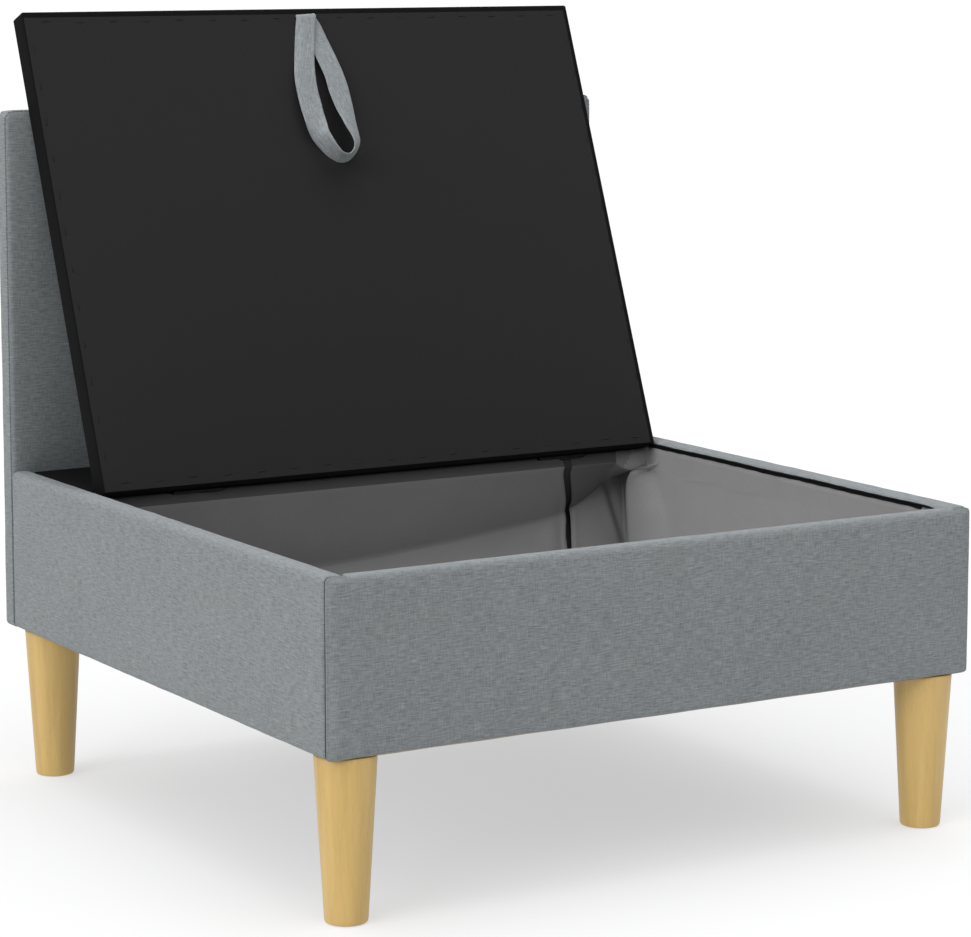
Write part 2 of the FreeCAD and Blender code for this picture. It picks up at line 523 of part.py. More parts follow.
# --------------------------------------------------- origin and STEP files
y_max = max(p.optimalBoundingBox(False, False).YMax for p in parts.values())
SHIFT = Vector(-WIDTH / 2.0, -y_max / 2.0, 0.0)
os.makedirs("parts", exist_ok=True)
for n in sorted(parts):
    s = parts[n].copy()
    s.translate(SHIFT)
    if not s.isValid():
        print("not valid:", n)
    s.exportStep("parts/%s.step" % n)
print("nodes", len(parts), "depth", round(y_max, 3), "shift y", round(SHIFT.y, 4))
print("hinge axis y %.4f z %.4f" % (HINGE_Y + SHIFT.y, HINGE_Z))
piv = Vector(0, PIVOT_Y, PIVOT_Z)
m = FreeCAD.Placement(Vector(0, 0, 0), FreeCAD.Rotation(AXIS_D, -OPEN_DEG), AXIS_P)
q = m.multVec(piv) + Vector(0, SHIFT.y, 0)
print("strap axis y %.4f z %.4f" % (q.y, q.z))
top = max(p.optimalBoundingBox(False, False).ZMax for p in parts.values())
print("height", round(top, 3))
gap = parts["lid_cover"].distToShape(parts["backrest_cover"])[0]
print("lid to backrest", round(gap, 3))
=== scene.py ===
"""Looks for the storage sofa: pads, covers, liner, strap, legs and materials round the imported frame.

Sizes here are working millimetres, as in part.py: X from the left face, Y back from the front face, Z up.
P() turns them into the row frame in metres.
"""

import math

import bpy
import numpy as np
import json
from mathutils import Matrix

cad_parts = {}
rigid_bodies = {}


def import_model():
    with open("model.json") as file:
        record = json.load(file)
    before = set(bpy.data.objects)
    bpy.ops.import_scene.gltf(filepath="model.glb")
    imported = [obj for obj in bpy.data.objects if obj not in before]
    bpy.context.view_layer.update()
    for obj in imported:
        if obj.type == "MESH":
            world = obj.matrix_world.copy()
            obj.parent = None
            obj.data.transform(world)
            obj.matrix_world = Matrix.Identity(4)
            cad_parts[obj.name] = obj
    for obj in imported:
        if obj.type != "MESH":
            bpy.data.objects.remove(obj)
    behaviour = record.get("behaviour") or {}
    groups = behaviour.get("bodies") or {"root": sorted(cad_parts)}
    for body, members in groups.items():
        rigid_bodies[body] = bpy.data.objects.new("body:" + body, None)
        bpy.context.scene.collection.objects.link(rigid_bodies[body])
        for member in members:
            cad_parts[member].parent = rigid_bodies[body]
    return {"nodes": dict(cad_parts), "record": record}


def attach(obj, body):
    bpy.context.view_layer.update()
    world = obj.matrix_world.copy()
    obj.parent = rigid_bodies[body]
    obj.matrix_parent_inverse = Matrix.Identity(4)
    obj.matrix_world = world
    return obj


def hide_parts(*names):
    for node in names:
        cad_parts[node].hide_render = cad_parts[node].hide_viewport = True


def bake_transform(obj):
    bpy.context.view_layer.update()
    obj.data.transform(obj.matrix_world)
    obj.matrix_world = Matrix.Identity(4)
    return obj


for spare in list(bpy.data.objects):
    bpy.data.objects.remove(spare)
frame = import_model()
bpy.context.view_layer.update()
scene = bpy.context.scene
NODES = frame["nodes"]
RNG = np.random.default_rng(7)

OX, OY = 375.0, 378.7088


def P(a):
    """Working mm to the row frame in metres, for an array of points."""
    a = np.asarray(a, float)
    return (a - np.array([OX, OY, 0.0])) / 1000.0


# the open lid's own frame: s runs down the lid from its front edge, h out of the underside
LE = np.array([0.0, 732.99923, 830.09537])
LT = np.array([0.0, -0.36325123, -0.93169123])
LN = np.array([0.0, -0.93169123, 0.36325123])


def lid(a):
    """(X, s, h) in the lid's frame to working mm."""
    a = np.asarray(a, float)
    return (
        np.stack([a[..., 0], np.zeros_like(a[..., 0]), np.zeros_like(a[..., 0])], -1)
        + LE
        + a[..., 1:2] * LT
        + a[..., 2:3] * LN
    )


# --------------------------------------------------------------------- camera
cam_data = bpy.data.cameras.new("camera")
cam = bpy.data.objects.new("camera", cam_data)
scene.collection.objects.link(cam)
cam_data.sensor_fit = "HORIZONTAL"
cam_data.sensor_width = 36.0
cam_data.lens = 125.99
cam_data.shift_x = 0.0
cam_data.shift_y = -0.0803
cam_data.clip_start, cam_data.clip_end = 0.05, 200.0
cam.location = (-1.8241, -3.0557, 0.9166)
cam.rotation_euler = (math.radians(90 - 7.660), 0.0, math.radians(-31.140))
scene.camera = cam

# ------------------------------------------------------------- light and floor
scene.view_settings.view_transform = "Standard"
scene.view_settings.look = "None"
scene.view_settings.exposure = 0.0
scene.view_settings.gamma = 1.0

world = bpy.data.worlds.new("studio")
scene.world = world
world.use_nodes = True
wt = world.node_tree
wt.nodes.clear()
w_out = wt.nodes.new("ShaderNodeOutputWorld")
w_bg = wt.nodes.new("ShaderNodeBackground")
w_ramp = wt.nodes.new("ShaderNodeValToRGB")
w_sep = wt.nodes.new("ShaderNodeSeparateXYZ")
w_co = wt.nodes.new("ShaderNodeTexCoord")
wt.links.new(w_co.outputs["Generated"], w_sep.inputs[0])
wt.links.new(w_sep.outputs["Z"], w_ramp.inputs["Fac"])
wt.links.new(w_ramp.outputs["Color"], w_bg.inputs["Color"])
wt.links.new(w_bg.outputs[0], w_out.inputs["Surface"])
SKY = ((0.0, 0.0), (0.40, 0.0), (0.75, 1.0), (1.0, 1.0))
while len(w_ramp.color_ramp.elements) < len(SKY):
    w_ramp.color_ramp.elements.new(0.5)
for e_, (pos_, v_) in zip(w_ramp.color_ramp.elements, SKY):
    e_.position, e_.color = pos_, (v_, v_ * 1.004, v_ * 1.01, 1)
w_bg.inputs["Strength"].default_value = 1.69


def sunlight(name, toward, energy, angle, colour=(1.0, 1.0, 1.0)):
    """A soft sun seen in the direction toward."""
    d = bpy.data.lights.new(name, "SUN")
    o = bpy.data.objects.new(name, d)
    scene.collection.objects.link(o)
    d.energy, d.angle, d.color = energy, math.radians(angle), colour
    v = np.array(toward, float)
    v /= np.linalg.norm(v)
    o.rotation_euler = (math.acos(v[2]), 0.0, math.atan2(v[1], v[0]) + math.pi / 2)
    return o


sunlight("key", (-0.90, -0.10, 0.42), 0.67, 25, (1.0, 0.995, 0.99))
sunlight("low", (-0.80, -0.42, 0.42), 0.68, 25)
sunlight("top", (0.0, 0.0, 1.0), 0.65, 40)




# ------------------------------------------------------------------ materials
class Mat:
    """A material with a Principled shader and short calls for its nodes."""

    def __init__(self, name, rough=0.8, spec=0.3, metal=0.0):
        self.m = bpy.data.materials.new(name)
        self.m.use_nodes = True
        self.t = self.m.node_tree
        self.t.nodes.clear()
        self.out = self.t.nodes.new("ShaderNodeOutputMaterial")
        self.b = self.t.nodes.new("ShaderNodeBsdfPrincipled")
        self.t.links.new(self.b.outputs[0], self.out.inputs["Surface"])
        self.b.inputs["Roughness"].default_value = rough
        self.b.inputs["Specular IOR Level"].default_value = spec
        self.b.inputs["Metallic"].default_value = metal
        self.co = self.t.nodes.new("ShaderNodeTexCoord")

    def link(self, a, b):
        self.t.links.new(a, b)

    def put(self, sock, value):
        if isinstance(value, bpy.types.NodeSocket):
            self.link(value, sock)
        else:
            sock.default_value = value

    def mapped(self, scale, move=(0, 0, 0), uv=True, warp=None, turn=(0, 0, 0)):
        n = self.t.nodes.new("ShaderNodeMapping")
        n.inputs["Scale"].default_value = scale
        n.inputs["Location"].default_value = move
        n.inputs["Rotation"].default_value = turn
        self.link(warp if warp is not None else self.co.outputs["UV" if uv else "Object"], n.inputs["Vector"])
        return n.outputs[0]

    def noise(self, vec, scale=1.0, detail=2.0, rough=0.5, colour=False):
        n = self.t.nodes.new("ShaderNodeTexNoise")
        n.inputs["Scale"].default_value = scale
        n.inputs["Detail"].default_value = detail
        n.inputs["Roughness"].default_value = rough
        self.link(vec, n.inputs["Vector"])
        return n.outputs["Color" if colour else "Fac"]

    def voronoi(self, vec, scale=1.0, feature="F1", out="Distance"):
        n = self.t.nodes.new("ShaderNodeTexVoronoi")
        n.feature = feature
        n.inputs["Scale"].default_value = scale
        self.link(vec, n.inputs["Vector"])
        return n.outputs[out]

    def math(self, op, a, b=0.0, clamp=False):
        n = self.t.nodes.new("ShaderNodeMath")
        n.operation = op
        n.use_clamp = clamp
        self.put(n.inputs[0], a)
        self.put(n.inputs[1], b)
        return n.outputs[0]

    def vmath(self, op, a, b=(0, 0, 0), scale=None):
        n = self.t.nodes.new("ShaderNodeVectorMath")
        n.operation = op
        self.put(n.inputs[0], a)
        if scale is None:
            self.put(n.inputs[1], b)
        else:
            n.inputs["Scale"].default_value = scale
        return n.outputs[0]

    def rng(self, v, a, b, c, d, smooth=False):
        n = self.t.nodes.new("ShaderNodeMapRange")
        n.interpolation_type = "SMOOTHSTEP" if smooth else "LINEAR"
        for key, x in (("From Min", a), ("From Max", b), ("To Min", c), ("To Max", d)):
            n.inputs[key].default_value = x
        self.put(n.inputs["Value"], v)
        return n.outputs[0]

    def mix(self, fac, a, b, mode="MIX"):
        n = self.t.nodes.new("ShaderNodeMix")
        n.data_type = "RGBA"
        n.blend_type = mode
        self.put(n.inputs["Factor"], fac)
        ca, cb = [s for s in n.inputs if s.type == "RGBA"][:2]
        for s, v in ((ca, a), (cb, b)):
            self.put(s, (*v, 1.0) if isinstance(v, tuple) and len(v) == 3 else v)
        return [s for s in n.outputs if s.type == "RGBA"][0]

    def ramp(self, fac, *stops):
        n = self.t.nodes.new("ShaderNodeValToRGB")
        e = n.color_ramp.elements
        while len(e) < len(stops):
            e.new(0.5)
        for k, (pos, col) in enumerate(stops):
            e[k].position, e[k].color = pos, (*col, 1.0)
        self.put(n.inputs["Fac"], fac)
        return n.outputs["Color"]

    def bump(self, height, distance, strength=1.0, after=None):
        n = self.t.nodes.new("ShaderNodeBump")
        n.inputs["Distance"].default_value = distance
        n.inputs["Strength"].default_value = strength
        self.link(height, n.inputs["Height"])
        if after is not None:
            self.link(after, n.inputs["Normal"])
        return n.outputs[0]


def linen(name, gain=1.0, tint=(1.0, 1.0, 1.0), weave=1.0):
    """Grey melange linen: slubby threads both ways, on UVs in metres."""
    m = Mat(name, rough=0.92, spec=0.18)
    base = m.co.outputs["UV"]
    wob = m.noise(m.mapped((90, 90, 1)), detail=1.0, colour=True)
    wob = m.vmath("SCALE", m.vmath("SUBTRACT", wob, (0.5, 0.5, 0.5)), scale=0.0011)
    uv = m.vmath("ADD", base, wob)
    across = m.noise(m.mapped((84 * weave, 860 * weave, 1), warp=uv), detail=2.5, rough=0.62)
    down = m.noise(m.mapped((880 * weave, 95 * weave, 1), (3.1, 7.7, 0), warp=uv), detail=2.5, rough=0.62)
    slub_a = m.rng(m.noise(m.mapped((44, 560, 1), (9.3, 1.1, 0), warp=uv), detail=1.0), 0.58, 0.78, 0.0, 1.0)
    slub_d = m.rng(m.noise(m.mapped((560, 50, 1), (4.4, 8.1, 0), warp=uv), detail=1.0), 0.60, 0.80, 0.0, 1.0)
    thin_a = m.rng(m.noise(m.mapped((48, 640, 1), (1.7, 5.9, 0), warp=uv), detail=1.0), 0.42, 0.24, 0.0, 1.0)
    fine = m.noise(m.mapped((1300, 1300, 1)), detail=1.0)
    broad = m.noise(m.mapped((10, 10, 1), (2.2, 6.6, 0)), detail=2.0)
    olive = m.rng(m.noise(m.mapped((16, 22, 1), (5.5, 3.3, 0)), detail=2.0), 0.56, 0.74, 0.0, 1.0)
    t = m.math("MULTIPLY", m.math("SUBTRACT", across, 0.5), 1.35)
    t = m.math("ADD", t, m.math("MULTIPLY", m.math("SUBTRACT", down, 0.5), 0.85))
    t = m.math("ADD", t, m.math("MULTIPLY", m.math("SUBTRACT", fine, 0.5), 0.25))
    t = m.math("ADD", t, m.math("MULTIPLY", m.math("SUBTRACT", broad, 0.5), 0.16))
    t = m.math("ADD", t, m.math("MULTIPLY", slub_a, 0.20))
    t = m.math("ADD", t, m.math("MULTIPLY", slub_d, 0.10))
    t = m.math("SUBTRACT", t, m.math("MULTIPLY", thin_a, 0.16))
    t = m.math("ADD", t, 0.5)
    lo = tuple(gain * c * v for c, v in zip(tint, (0.128, 0.139, 0.145)))
    hi = tuple(gain * c * v for c, v in zip(tint, (0.372, 0.405, 0.416)))
    col = m.mix(t, lo, hi)
    t_clamped = col.node
    t_clamped.clamp_factor = True
    warm = m.mix(m.math("MULTIPLY", olive, 0.10), col, tuple(gain * v for v in (0.235, 0.245, 0.215)))
    m.link(warm, m.b.inputs["Base Color"])
    h = m.math("ADD", m.math("MULTIPLY", across, 0.6), m.math("MULTIPLY", down, 0.5))
    h = m.math("ADD", h, m.math("MULTIPLY", fine, 0.35))
    h = m.math("ADD", h, m.math("MULTIPLY", slub_a, 0.35))
    m.link(m.bump(h, 0.00045, 0.55), m.b.inputs["Normal"])
    m.link(m.rng(across, 0.3, 0.7, 0.97, 0.86), m.b.inputs["Roughness"])
    m.b.inputs["Sheen Weight"].default_value = 0.10
    m.b.inputs["Sheen Roughness"].default_value = 0.6
    return m.m


def nonwoven(name, dark, light, pitch=0.0032, uv=True, relief=0.00012, rough=0.9, spec=0.15, sheen=0.0):
    """Spun-bonded cloth: matted fibres with a fine grid of bonded points."""
    m = Mat(name, rough=rough, spec=spec)
    fib = m.noise(m.mapped((900, 260, 260), uv=uv), detail=3.0, rough=0.7)
    fib2 = m.noise(m.mapped((260, 900, 900), (4, 2, 7), uv=uv), detail=3.0, rough=0.7)
    dots = m.voronoi(m.mapped((1 / pitch,) * 3, uv=uv), 1.0)
    dots = m.rng(dots, 0.10, 0.32, 1.0, 0.0, True)
    cloud = m.noise(m.mapped((22, 22, 22), (1, 5, 3), uv=uv), detail=3.0, rough=0.6)
    t = m.math("ADD", m.math("MULTIPLY", fib, 0.5), m.math("MULTIPLY", fib2, 0.5))
    t = m.math("ADD", m.math("MULTIPLY", m.math("SUBTRACT", t, 0.5), 1.1), m.math("MULTIPLY", m.math("SUBTRACT", cloud, 0.5), 0.55))
    t = m.math("SUBTRACT", t, m.math("MULTIPLY", dots, 0.12))
    t = m.math("ADD", t, 0.5, True)
    m.link(m.mix(t, dark, light), m.b.inputs["Base Color"])
    h = m.math("SUBTRACT", m.math("ADD", m.math("MULTIPLY", fib, 0.5), m.math("MULTIPLY", fib2, 0.5)), m.math("MULTIPLY", dots, 0.6))
    m.link(m.bump(h, relief, 0.6), m.b.inputs["Normal"])
    m.link(m.rng(cloud, 0.3, 0.7, rough - 0.05, min(1.0, rough + 0.06)), m.b.inputs["Roughness"])
    m.b.inputs["Sheen Weight"].default_value = sheen
    return m.m


def beech():
    m = Mat("beech_legs", rough=0.42, spec=0.42)
    long_ = m.noise(m.mapped((70, 70, 3.2), uv=False), detail=5.0, rough=0.6)
    pores = m.noise(m.mapped((900, 900, 26), uv=False), detail=2.0, rough=0.6)
    flecks = m.rng(m.noise(m.mapped((420, 420, 60), (3, 1, 2), uv=False), detail=1.0), 0.64, 0.76, 0.0, 1.0)
    tone = m.noise(m.mapped((9, 9, 2.5), (7, 3, 1), uv=False), detail=2.0)
    col = m.ramp(long_, (0.28, (0.495, 0.323, 0.101)), (0.52, (0.588, 0.396, 0.130)), (0.78, (0.647, 0.446, 0.157)))
    col = m.mix(m.math("MULTIPLY", m.rng(pores, 0.52, 0.75, 0.0, 1.0), 0.28), col, (0.42, 0.265, 0.098))
    col = m.mix(m.math("MULTIPLY", flecks, 0.24), col, (0.39, 0.25, 0.10))
    col = m.mix(m.math("MULTIPLY", m.rng(tone, 0.3, 0.7, 0.0, 1.0), 0.20), col, (0.64, 0.45, 0.215))
    m.link(col, m.b.inputs["Base Color"])
    m.link(m.rng(long_, 0.3, 0.7, 0.50, 0.38), m.b.inputs["Roughness"])
    m.link(m.bump(m.math("ADD", long_, m.math("MULTIPLY", pores, 0.6)), 0.0002, 0.30), m.b.inputs["Normal"])
    m.b.inputs["Coat Weight"].default_value = 0.15
    m.b.inputs["Coat Roughness"].default_value = 0.35
    return m.m


def chipboard(name, lo, hi):
    """Raw particle board: pressed chips of several sizes."""
    m = Mat(name, rough=0.86, spec=0.2)
    chips = m.voronoi(m.mapped((260, 260, 620), uv=False), 1.0, out="Color")
    small = m.voronoi(m.mapped((900, 900, 1500), (2, 5, 1), uv=False), 1.0, out="Color")
    sep = m.t.nodes.new("ShaderNodeSeparateColor")
    m.link(chips, sep.inputs[0])
    sep2 = m.t.nodes.new("ShaderNodeSeparateColor")
    m.link(small, sep2.inputs[0])
    cloud = m.noise(m.mapped((14, 14, 14), uv=False), detail=3.0)
    t = m.math("ADD", m.math("MULTIPLY", sep.outputs[0], 0.45), m.math("MULTIPLY", sep2.outputs[1], 0.35))
    t = m.math("ADD", t, m.math("MULTIPLY", cloud, 0.25), True)
    m.link(m.mix(t, lo, hi), m.b.inputs["Base Color"])
    m.link(m.bump(t, 0.0003, 0.5), m.b.inputs["Normal"])
    m.link(m.rng(cloud, 0.3, 0.7, 0.92, 0.78), m.b.inputs["Roughness"])
    return m.m


def softwood(name="fir"):
    m = Mat(name, rough=0.62, spec=0.3)
    wob = m.vmath("SCALE", m.noise(m.mapped((6, 6, 6), uv=False), detail=2.0, colour=True), scale=0.012)
    v = m.vmath("ADD", m.co.outputs["Object"], wob)
    rings = m.noise(m.mapped((5, 190, 190), warp=v), detail=3.0, rough=0.55)
    fibre = m.noise(m.mapped((60, 1100, 1100), warp=v), detail=2.0)
    col = m.ramp(rings, (0.30, (0.66, 0.48, 0.26)), (0.50, (0.76, 0.60, 0.37)), (0.62, (0.70, 0.50, 0.27)), (0.80, (0.80, 0.65, 0.42)))
    col = m.mix(m.math("MULTIPLY", fibre, 0.25), col, (0.62, 0.44, 0.24))
    m.link(col, m.b.inputs["Base Color"])
    m.link(m.bump(m.math("ADD", rings, fibre), 0.0002, 0.4), m.b.inputs["Normal"])
    m.link(m.rng(rings, 0.3, 0.7, 0.70, 0.55), m.b.inputs["Roughness"])
    return m.m


def zinc(name, col, rough=0.34):
    m = Mat(name, rough=rough, spec=0.5, metal=1.0)
    brush = m.noise(m.mapped((40, 1500, 1500), uv=False), detail=2.0)
    spangle = m.voronoi(m.mapped((420, 420, 420), uv=False), 1.0, out="Distance")
    m.link(m.mix(m.math("ADD", m.math("MULTIPLY", brush, 0.5), m.math("MULTIPLY", spangle, 0.4), True), tuple(c * 0.78 for c in col), col), m.b.inputs["Base Color"])
    m.link(m.rng(spangle, 0.1, 0.7, rough - 0.06, rough + 0.12), m.b.inputs["Roughness"])
    m.link(m.bump(brush, 0.00005, 0.3), m.b.inputs["Normal"])
    return m.m


def felt(name, lo, hi):
    m = Mat(name, rough=0.96, spec=0.1)
    a = m.noise(m.mapped((500, 500, 500), uv=False), detail=4.0, rough=0.75)
    b = m.noise(m.mapped((30, 30, 30), uv=False), detail=3.0)
    t = m.math("ADD", m.math("MULTIPLY", a, 0.7), m.math("MULTIPLY", b, 0.3), True)
    m.link(m.mix(t, lo, hi), m.b.inputs["Base Color"])
    m.link(m.bump(a, 0.0006, 0.6), m.b.inputs["Normal"])
    m.link(m.rng(b, 0.3, 0.7, 0.99, 0.9), m.b.inputs["Roughness"])
    return m.m


def moulded(name, lo, hi, rough=0.45):
    m = Mat(name, rough=rough, spec=0.4)
    a = m.noise(m.mapped((1400, 1400, 1400), uv=False), detail=2.0)
    b = m.noise(m.mapped((60, 60, 60), uv=False), detail=2.0)
    m.link(m.mix(b, lo, hi), m.b.inputs["Base Color"])
    m.link(m.bump(a, 0.00006, 0.5), m.b.inputs["Normal"])
    m.link(m.rng(b, 0.3, 0.7, rough, rough + 0.15), m.b.inputs["Roughness"])
    return m.m


def taped(name):
    """Narrow woven tape: black, with a fine rib across it."""
    m = Mat(name, rough=0.8, spec=0.12)
    ribs = m.noise(m.mapped((1100, 120, 1)), detail=1.0)
    lint = m.noise(m.mapped((70, 500, 1), (3, 3, 0)), detail=3.0)
    m.link(m.mix(m.math("ADD", m.math("MULTIPLY", ribs, 0.5), m.math("MULTIPLY", lint, 0.5), True), (0.0020, 0.0020, 0.0022), (0.0060, 0.0060, 0.0063)), m.b.inputs["Base Color"])
    m.link(m.bump(ribs, 0.0002, 0.6), m.b.inputs["Normal"])
    m.link(m.rng(lint, 0.3, 0.7, 0.86, 0.70), m.b.inputs["Roughness"])
    return m.m


def floor_paint():
    m = Mat("studio_floor", rough=0.88, spec=0.1)
    a = m.noise(m.mapped((0.7, 0.7, 0.7), uv=False), detail=2.0)
    b = m.noise(m.mapped((60, 60, 60), uv=False), detail=2.0)
    m.link(m.mix(a, (0.31, 0.31, 0.31), (0.33, 0.33, 0.33)), m.b.inputs["Base Color"])
    m.b.inputs["Emission Color"].default_value = (1.0, 1.0, 1.0, 1.0)
    m.b.inputs["Emission Strength"].default_value = 0.56
    m.link(m.bump(b, 0.0002, 0.2), m.b.inputs["Normal"])
    return m.m


LINEN = linen("grey_linen", gain=0.785)
STRAP_LINEN = linen("strap_linen", gain=0.95, weave=1.1)
# darker copies of the grey bag cloth, painted shade on the bag's back: the top strip under the deck edge (least dark
# towards the right corner, darkest right of the pleat) and the flap right of the pleat
BAG_TOP_SHADE = nonwoven("grey_bag_top_painted_shade", (0.108, 0.108, 0.108), (0.138, 0.138, 0.138), pitch=0.0030, relief=0.0002)
BAG_TOP_CORNER_SHADE = nonwoven("grey_bag_top_corner_painted_shade", (0.185, 0.185, 0.185), (0.235, 0.235, 0.235), pitch=0.0030, relief=0.0002)
FLAP_CORNER_SHADE = nonwoven("grey_flap_corner_painted_shade", (0.140, 0.140, 0.140), (0.175, 0.175, 0.175), pitch=0.0030, relief=0.0002)
BAG_TOP_RIGHT_SHADE = nonwoven("grey_bag_top_right_painted_shade", (0.086, 0.086, 0.086), (0.110, 0.110, 0.110), pitch=0.0030, relief=0.0002)
# the pleat backing is dark as painted shade inside the open pleat
PLEAT_SHADE = nonwoven("pleat_backing_painted_shade", (0.045, 0.045, 0.045), (0.070, 0.070, 0.070), pitch=0.0030)
# dark strips for the corner seam grooves, painted shadow of the seam gap
SEAM_SHADE = moulded("seam_shadow_cloth", (0.030, 0.033, 0.035), (0.050, 0.054, 0.057), rough=0.9)
LINING = nonwoven("black_lining_cloth", (0.0165, 0.0165, 0.0167), (0.0225, 0.0225, 0.0227), pitch=0.0030, relief=0.00008)
LID_CLOTH = nonwoven("black_lid_cloth", (0.0029, 0.0029, 0.0031), (0.0058, 0.0058, 0.0060), pitch=0.0022, spec=0.11)
DUST = nonwoven("black_dust_cloth", (0.012, 0.012, 0.012), (0.030, 0.030, 0.030), pitch=0.0030)
BAG = nonwoven("grey_bag_cloth", (0.244, 0.244, 0.244), (0.312, 0.312, 0.312), pitch=0.0030, relief=0.0002)
TAPE = taped("black_tape_cloth")
BEECH = beech()
BOARD = chipboard("particle_board", (0.40, 0.28, 0.16), (0.70, 0.55, 0.36))
FIBRE = chipboard("fibre_board", (0.26, 0.17, 0.095), (0.42, 0.29, 0.17))
FIR = softwood()
ZINC = zinc("zinc_plate", (0.70, 0.70, 0.72))
WIRE = zinc("staple_steel", (0.030, 0.030, 0.031), rough=0.42)
BLACK_STEEL = zinc("black_hinge_steel", (0.035, 0.035, 0.036), rough=0.42)
FELT = felt("felt_sheet", (0.07, 0.07, 0.068), (0.16, 0.16, 0.155))
FOAM = felt("foam_sheet", (0.62, 0.58, 0.46), (0.80, 0.77, 0.66))
GLIDE = moulded("glide_plastic", (0.012, 0.012, 0.012), (0.030, 0.030, 0.030))
THREAD = moulded("seam_thread", (0.10, 0.108, 0.112), (0.16, 0.172, 0.178), rough=0.75)

BY_SLOT = {
    "grey_upholstery": LINEN, "padding": FOAM, "felt_pad": FELT, "panel_board": BOARD, "fir_wood": FIR,
    "fibreboard": FIBRE, "dust_cloth": DUST, "grey_liner": BAG, "black_tape": TAPE, "black_lining": LINING,
    "beech": BEECH, "plastic_glide": GLIDE, "zinc_steel": ZINC, "staple_wire": WIRE, "black_steel": BLACK_STEEL,
}
for part in frame["record"]["subparts"]:
    paint = BY_SLOT.get(part["material_slot"], LINEN)
    node = NODES[part["node"]]
    if part["node"].startswith("hinge_"):
        paint = BLACK_STEEL
    if node.data.materials:
        for k in range(len(node.data.materials)):
            node.data.materials[k] = paint
    else:
        node.data.materials.append(paint)


# ---------------------------------------------------------------- mesh making
def make(name, verts, faces, uvs, mat, body="base", smooth=True):
    me = bpy.data.meshes.new(name)
    me.from_pydata(np.asarray(verts).tolist(), [], [list(map(int, f)) for f in faces])
    layer = me.uv_layers.new(name="UVMap")
    layer.data.foreach_set("uv", np.asarray(uvs, np.float32).ravel())
    me.materials.append(mat)
    if smooth:
        me.polygons.foreach_set("use_smooth", [True] * len(me.polygons))
    me.update()
    o = bpy.data.objects.new(name, me)
    scene.collection.objects.link(o)
    o["body"] = body
    return o


def spaced(lo, hi, rlo, rhi, step, k):
    a = [lo + rlo * (1 - math.tan(math.pi / 4 * (1 - i / k))) for i in range(k + 1)] if rlo > 0.05 else [lo]
    b = [hi - rhi * (1 - math.tan(math.pi / 4 * (1 - i / k))) for i in range(k + 1)] if rhi > 0.05 else [hi]
    n = max(1, int(math.ceil((b[-1] - a[-1]) / step)))
    mid = np.linspace(a[-1], b[-1], n + 1)[1:-1].tolist()
    return np.array(a + mid + b[::-1])


def pad_box(name, lo, hi, rlo, rhi, step=9.0, k=4, along="x", mat=None, shift=(0.0, 0.0), place=None, body="base", extra=None):
    """A closed pad with rounded edges: lo..hi in mm, its own edge radius on each side of each axis, UVs in metres
    running over the edges. extra maps the points once rounded; place maps them to working mm."""
    mat = mat or LINEN
    ax = [spaced(lo[i], hi[i], rlo[i], rhi[i], step, k) for i in range(3)]
    if extra is not None and "cuts" in extra:
        for i, more in extra["cuts"].items():
            ax[i] = np.unique(np.concatenate([ax[i], np.asarray(more, float)]))
    n = [len(a) for a in ax]
    index, pts = {}, []

    def vid(i, j, l):
        key = (i, j, l)
        if key not in index:
            index[key] = len(pts)
            pts.append((ax[0][i], ax[1][j], ax[2][l]))
        return index[key]

    faces, fuv = [], []

    def uv_of(side, p):
        x, y, z = p
        if along == "x":
            return {"-y": (x, z), "+z": (x, hi[2] + y - lo[1]), "-z": (x, lo[2] - (y - lo[1])),
                    "+y": (x, hi[2] + hi[1] - lo[1] + hi[2] - z), "-x": (lo[0] - (y - lo[1]), z), "+x": (hi[0] + (y - lo[1]), z)}[side]
        return {"-x": (-y, z), "+z": (-y, hi[2] + x - lo[0]), "-z": (-y, lo[2] - (x - lo[0])),
                "+x": (-y, hi[2] + hi[0] - lo[0] + hi[2] - z), "-y": (-lo[1] + (x - lo[0]), z), "+y": (-hi[1] - (x - lo[0]), z)}[side]

    def quad(side, keys):
        ids = [vid(*q) for q in keys]
        faces.append(ids)
        for i in ids:
            u, v = uv_of(side, pts[i])
            fuv.append(((u + shift[0]) / 1000.0, (v + shift[1]) / 1000.0))

    X, Y, Z = n[0] - 1, n[1] - 1, n[2] - 1
    for i in range(X):
        for l in range(Z):
            quad("-y", [(i, 0, l), (i + 1, 0, l), (i + 1, 0, l + 1), (i, 0, l + 1)])
            quad("+y", [(i + 1, Y, l), (i, Y, l), (i, Y, l + 1), (i + 1, Y, l + 1)])
    for j in range(Y):
        for l in range(Z):
            quad("-x", [(0, j + 1, l), (0, j, l), (0, j, l + 1), (0, j + 1, l + 1)])
            quad("+x", [(X, j, l), (X, j + 1, l), (X, j + 1, l + 1), (X, j, l + 1)])
    for i in range(X):
        for j in range(Y):
            quad("-z", [(i, j, 0), (i, j + 1, 0), (i + 1, j + 1, 0), (i + 1, j, 0)])
            quad("+z", [(i, j, Z), (i + 1, j, Z), (i + 1, j + 1, Z), (i, j + 1, Z)])
    p = np.array(pts)
    lo, hi = np.array(lo, float), np.array(hi, float)
    rl, rh = np.maximum(np.array(rlo, float), 1e-4), np.maximum(np.array(rhi, float), 1e-4)
    q = np.clip(p, lo + rl, hi - rh)
    d = p - q
    d = np.where(d < 0, d / rl, d / rh)
    length = np.linalg.norm(d, axis=1, keepdims=True)
    nrm = d / np.maximum(length, 1e-9)
    p2 = q + np.where(nrm < 0, nrm * rl, nrm * rh)
    if extra is not None and "shape" in extra:
        p2 = extra["shape"](p2, p, nrm)
    w = place(p2) if place is not None else p2
    return make(name, P(w), faces, fuv, mat, body)


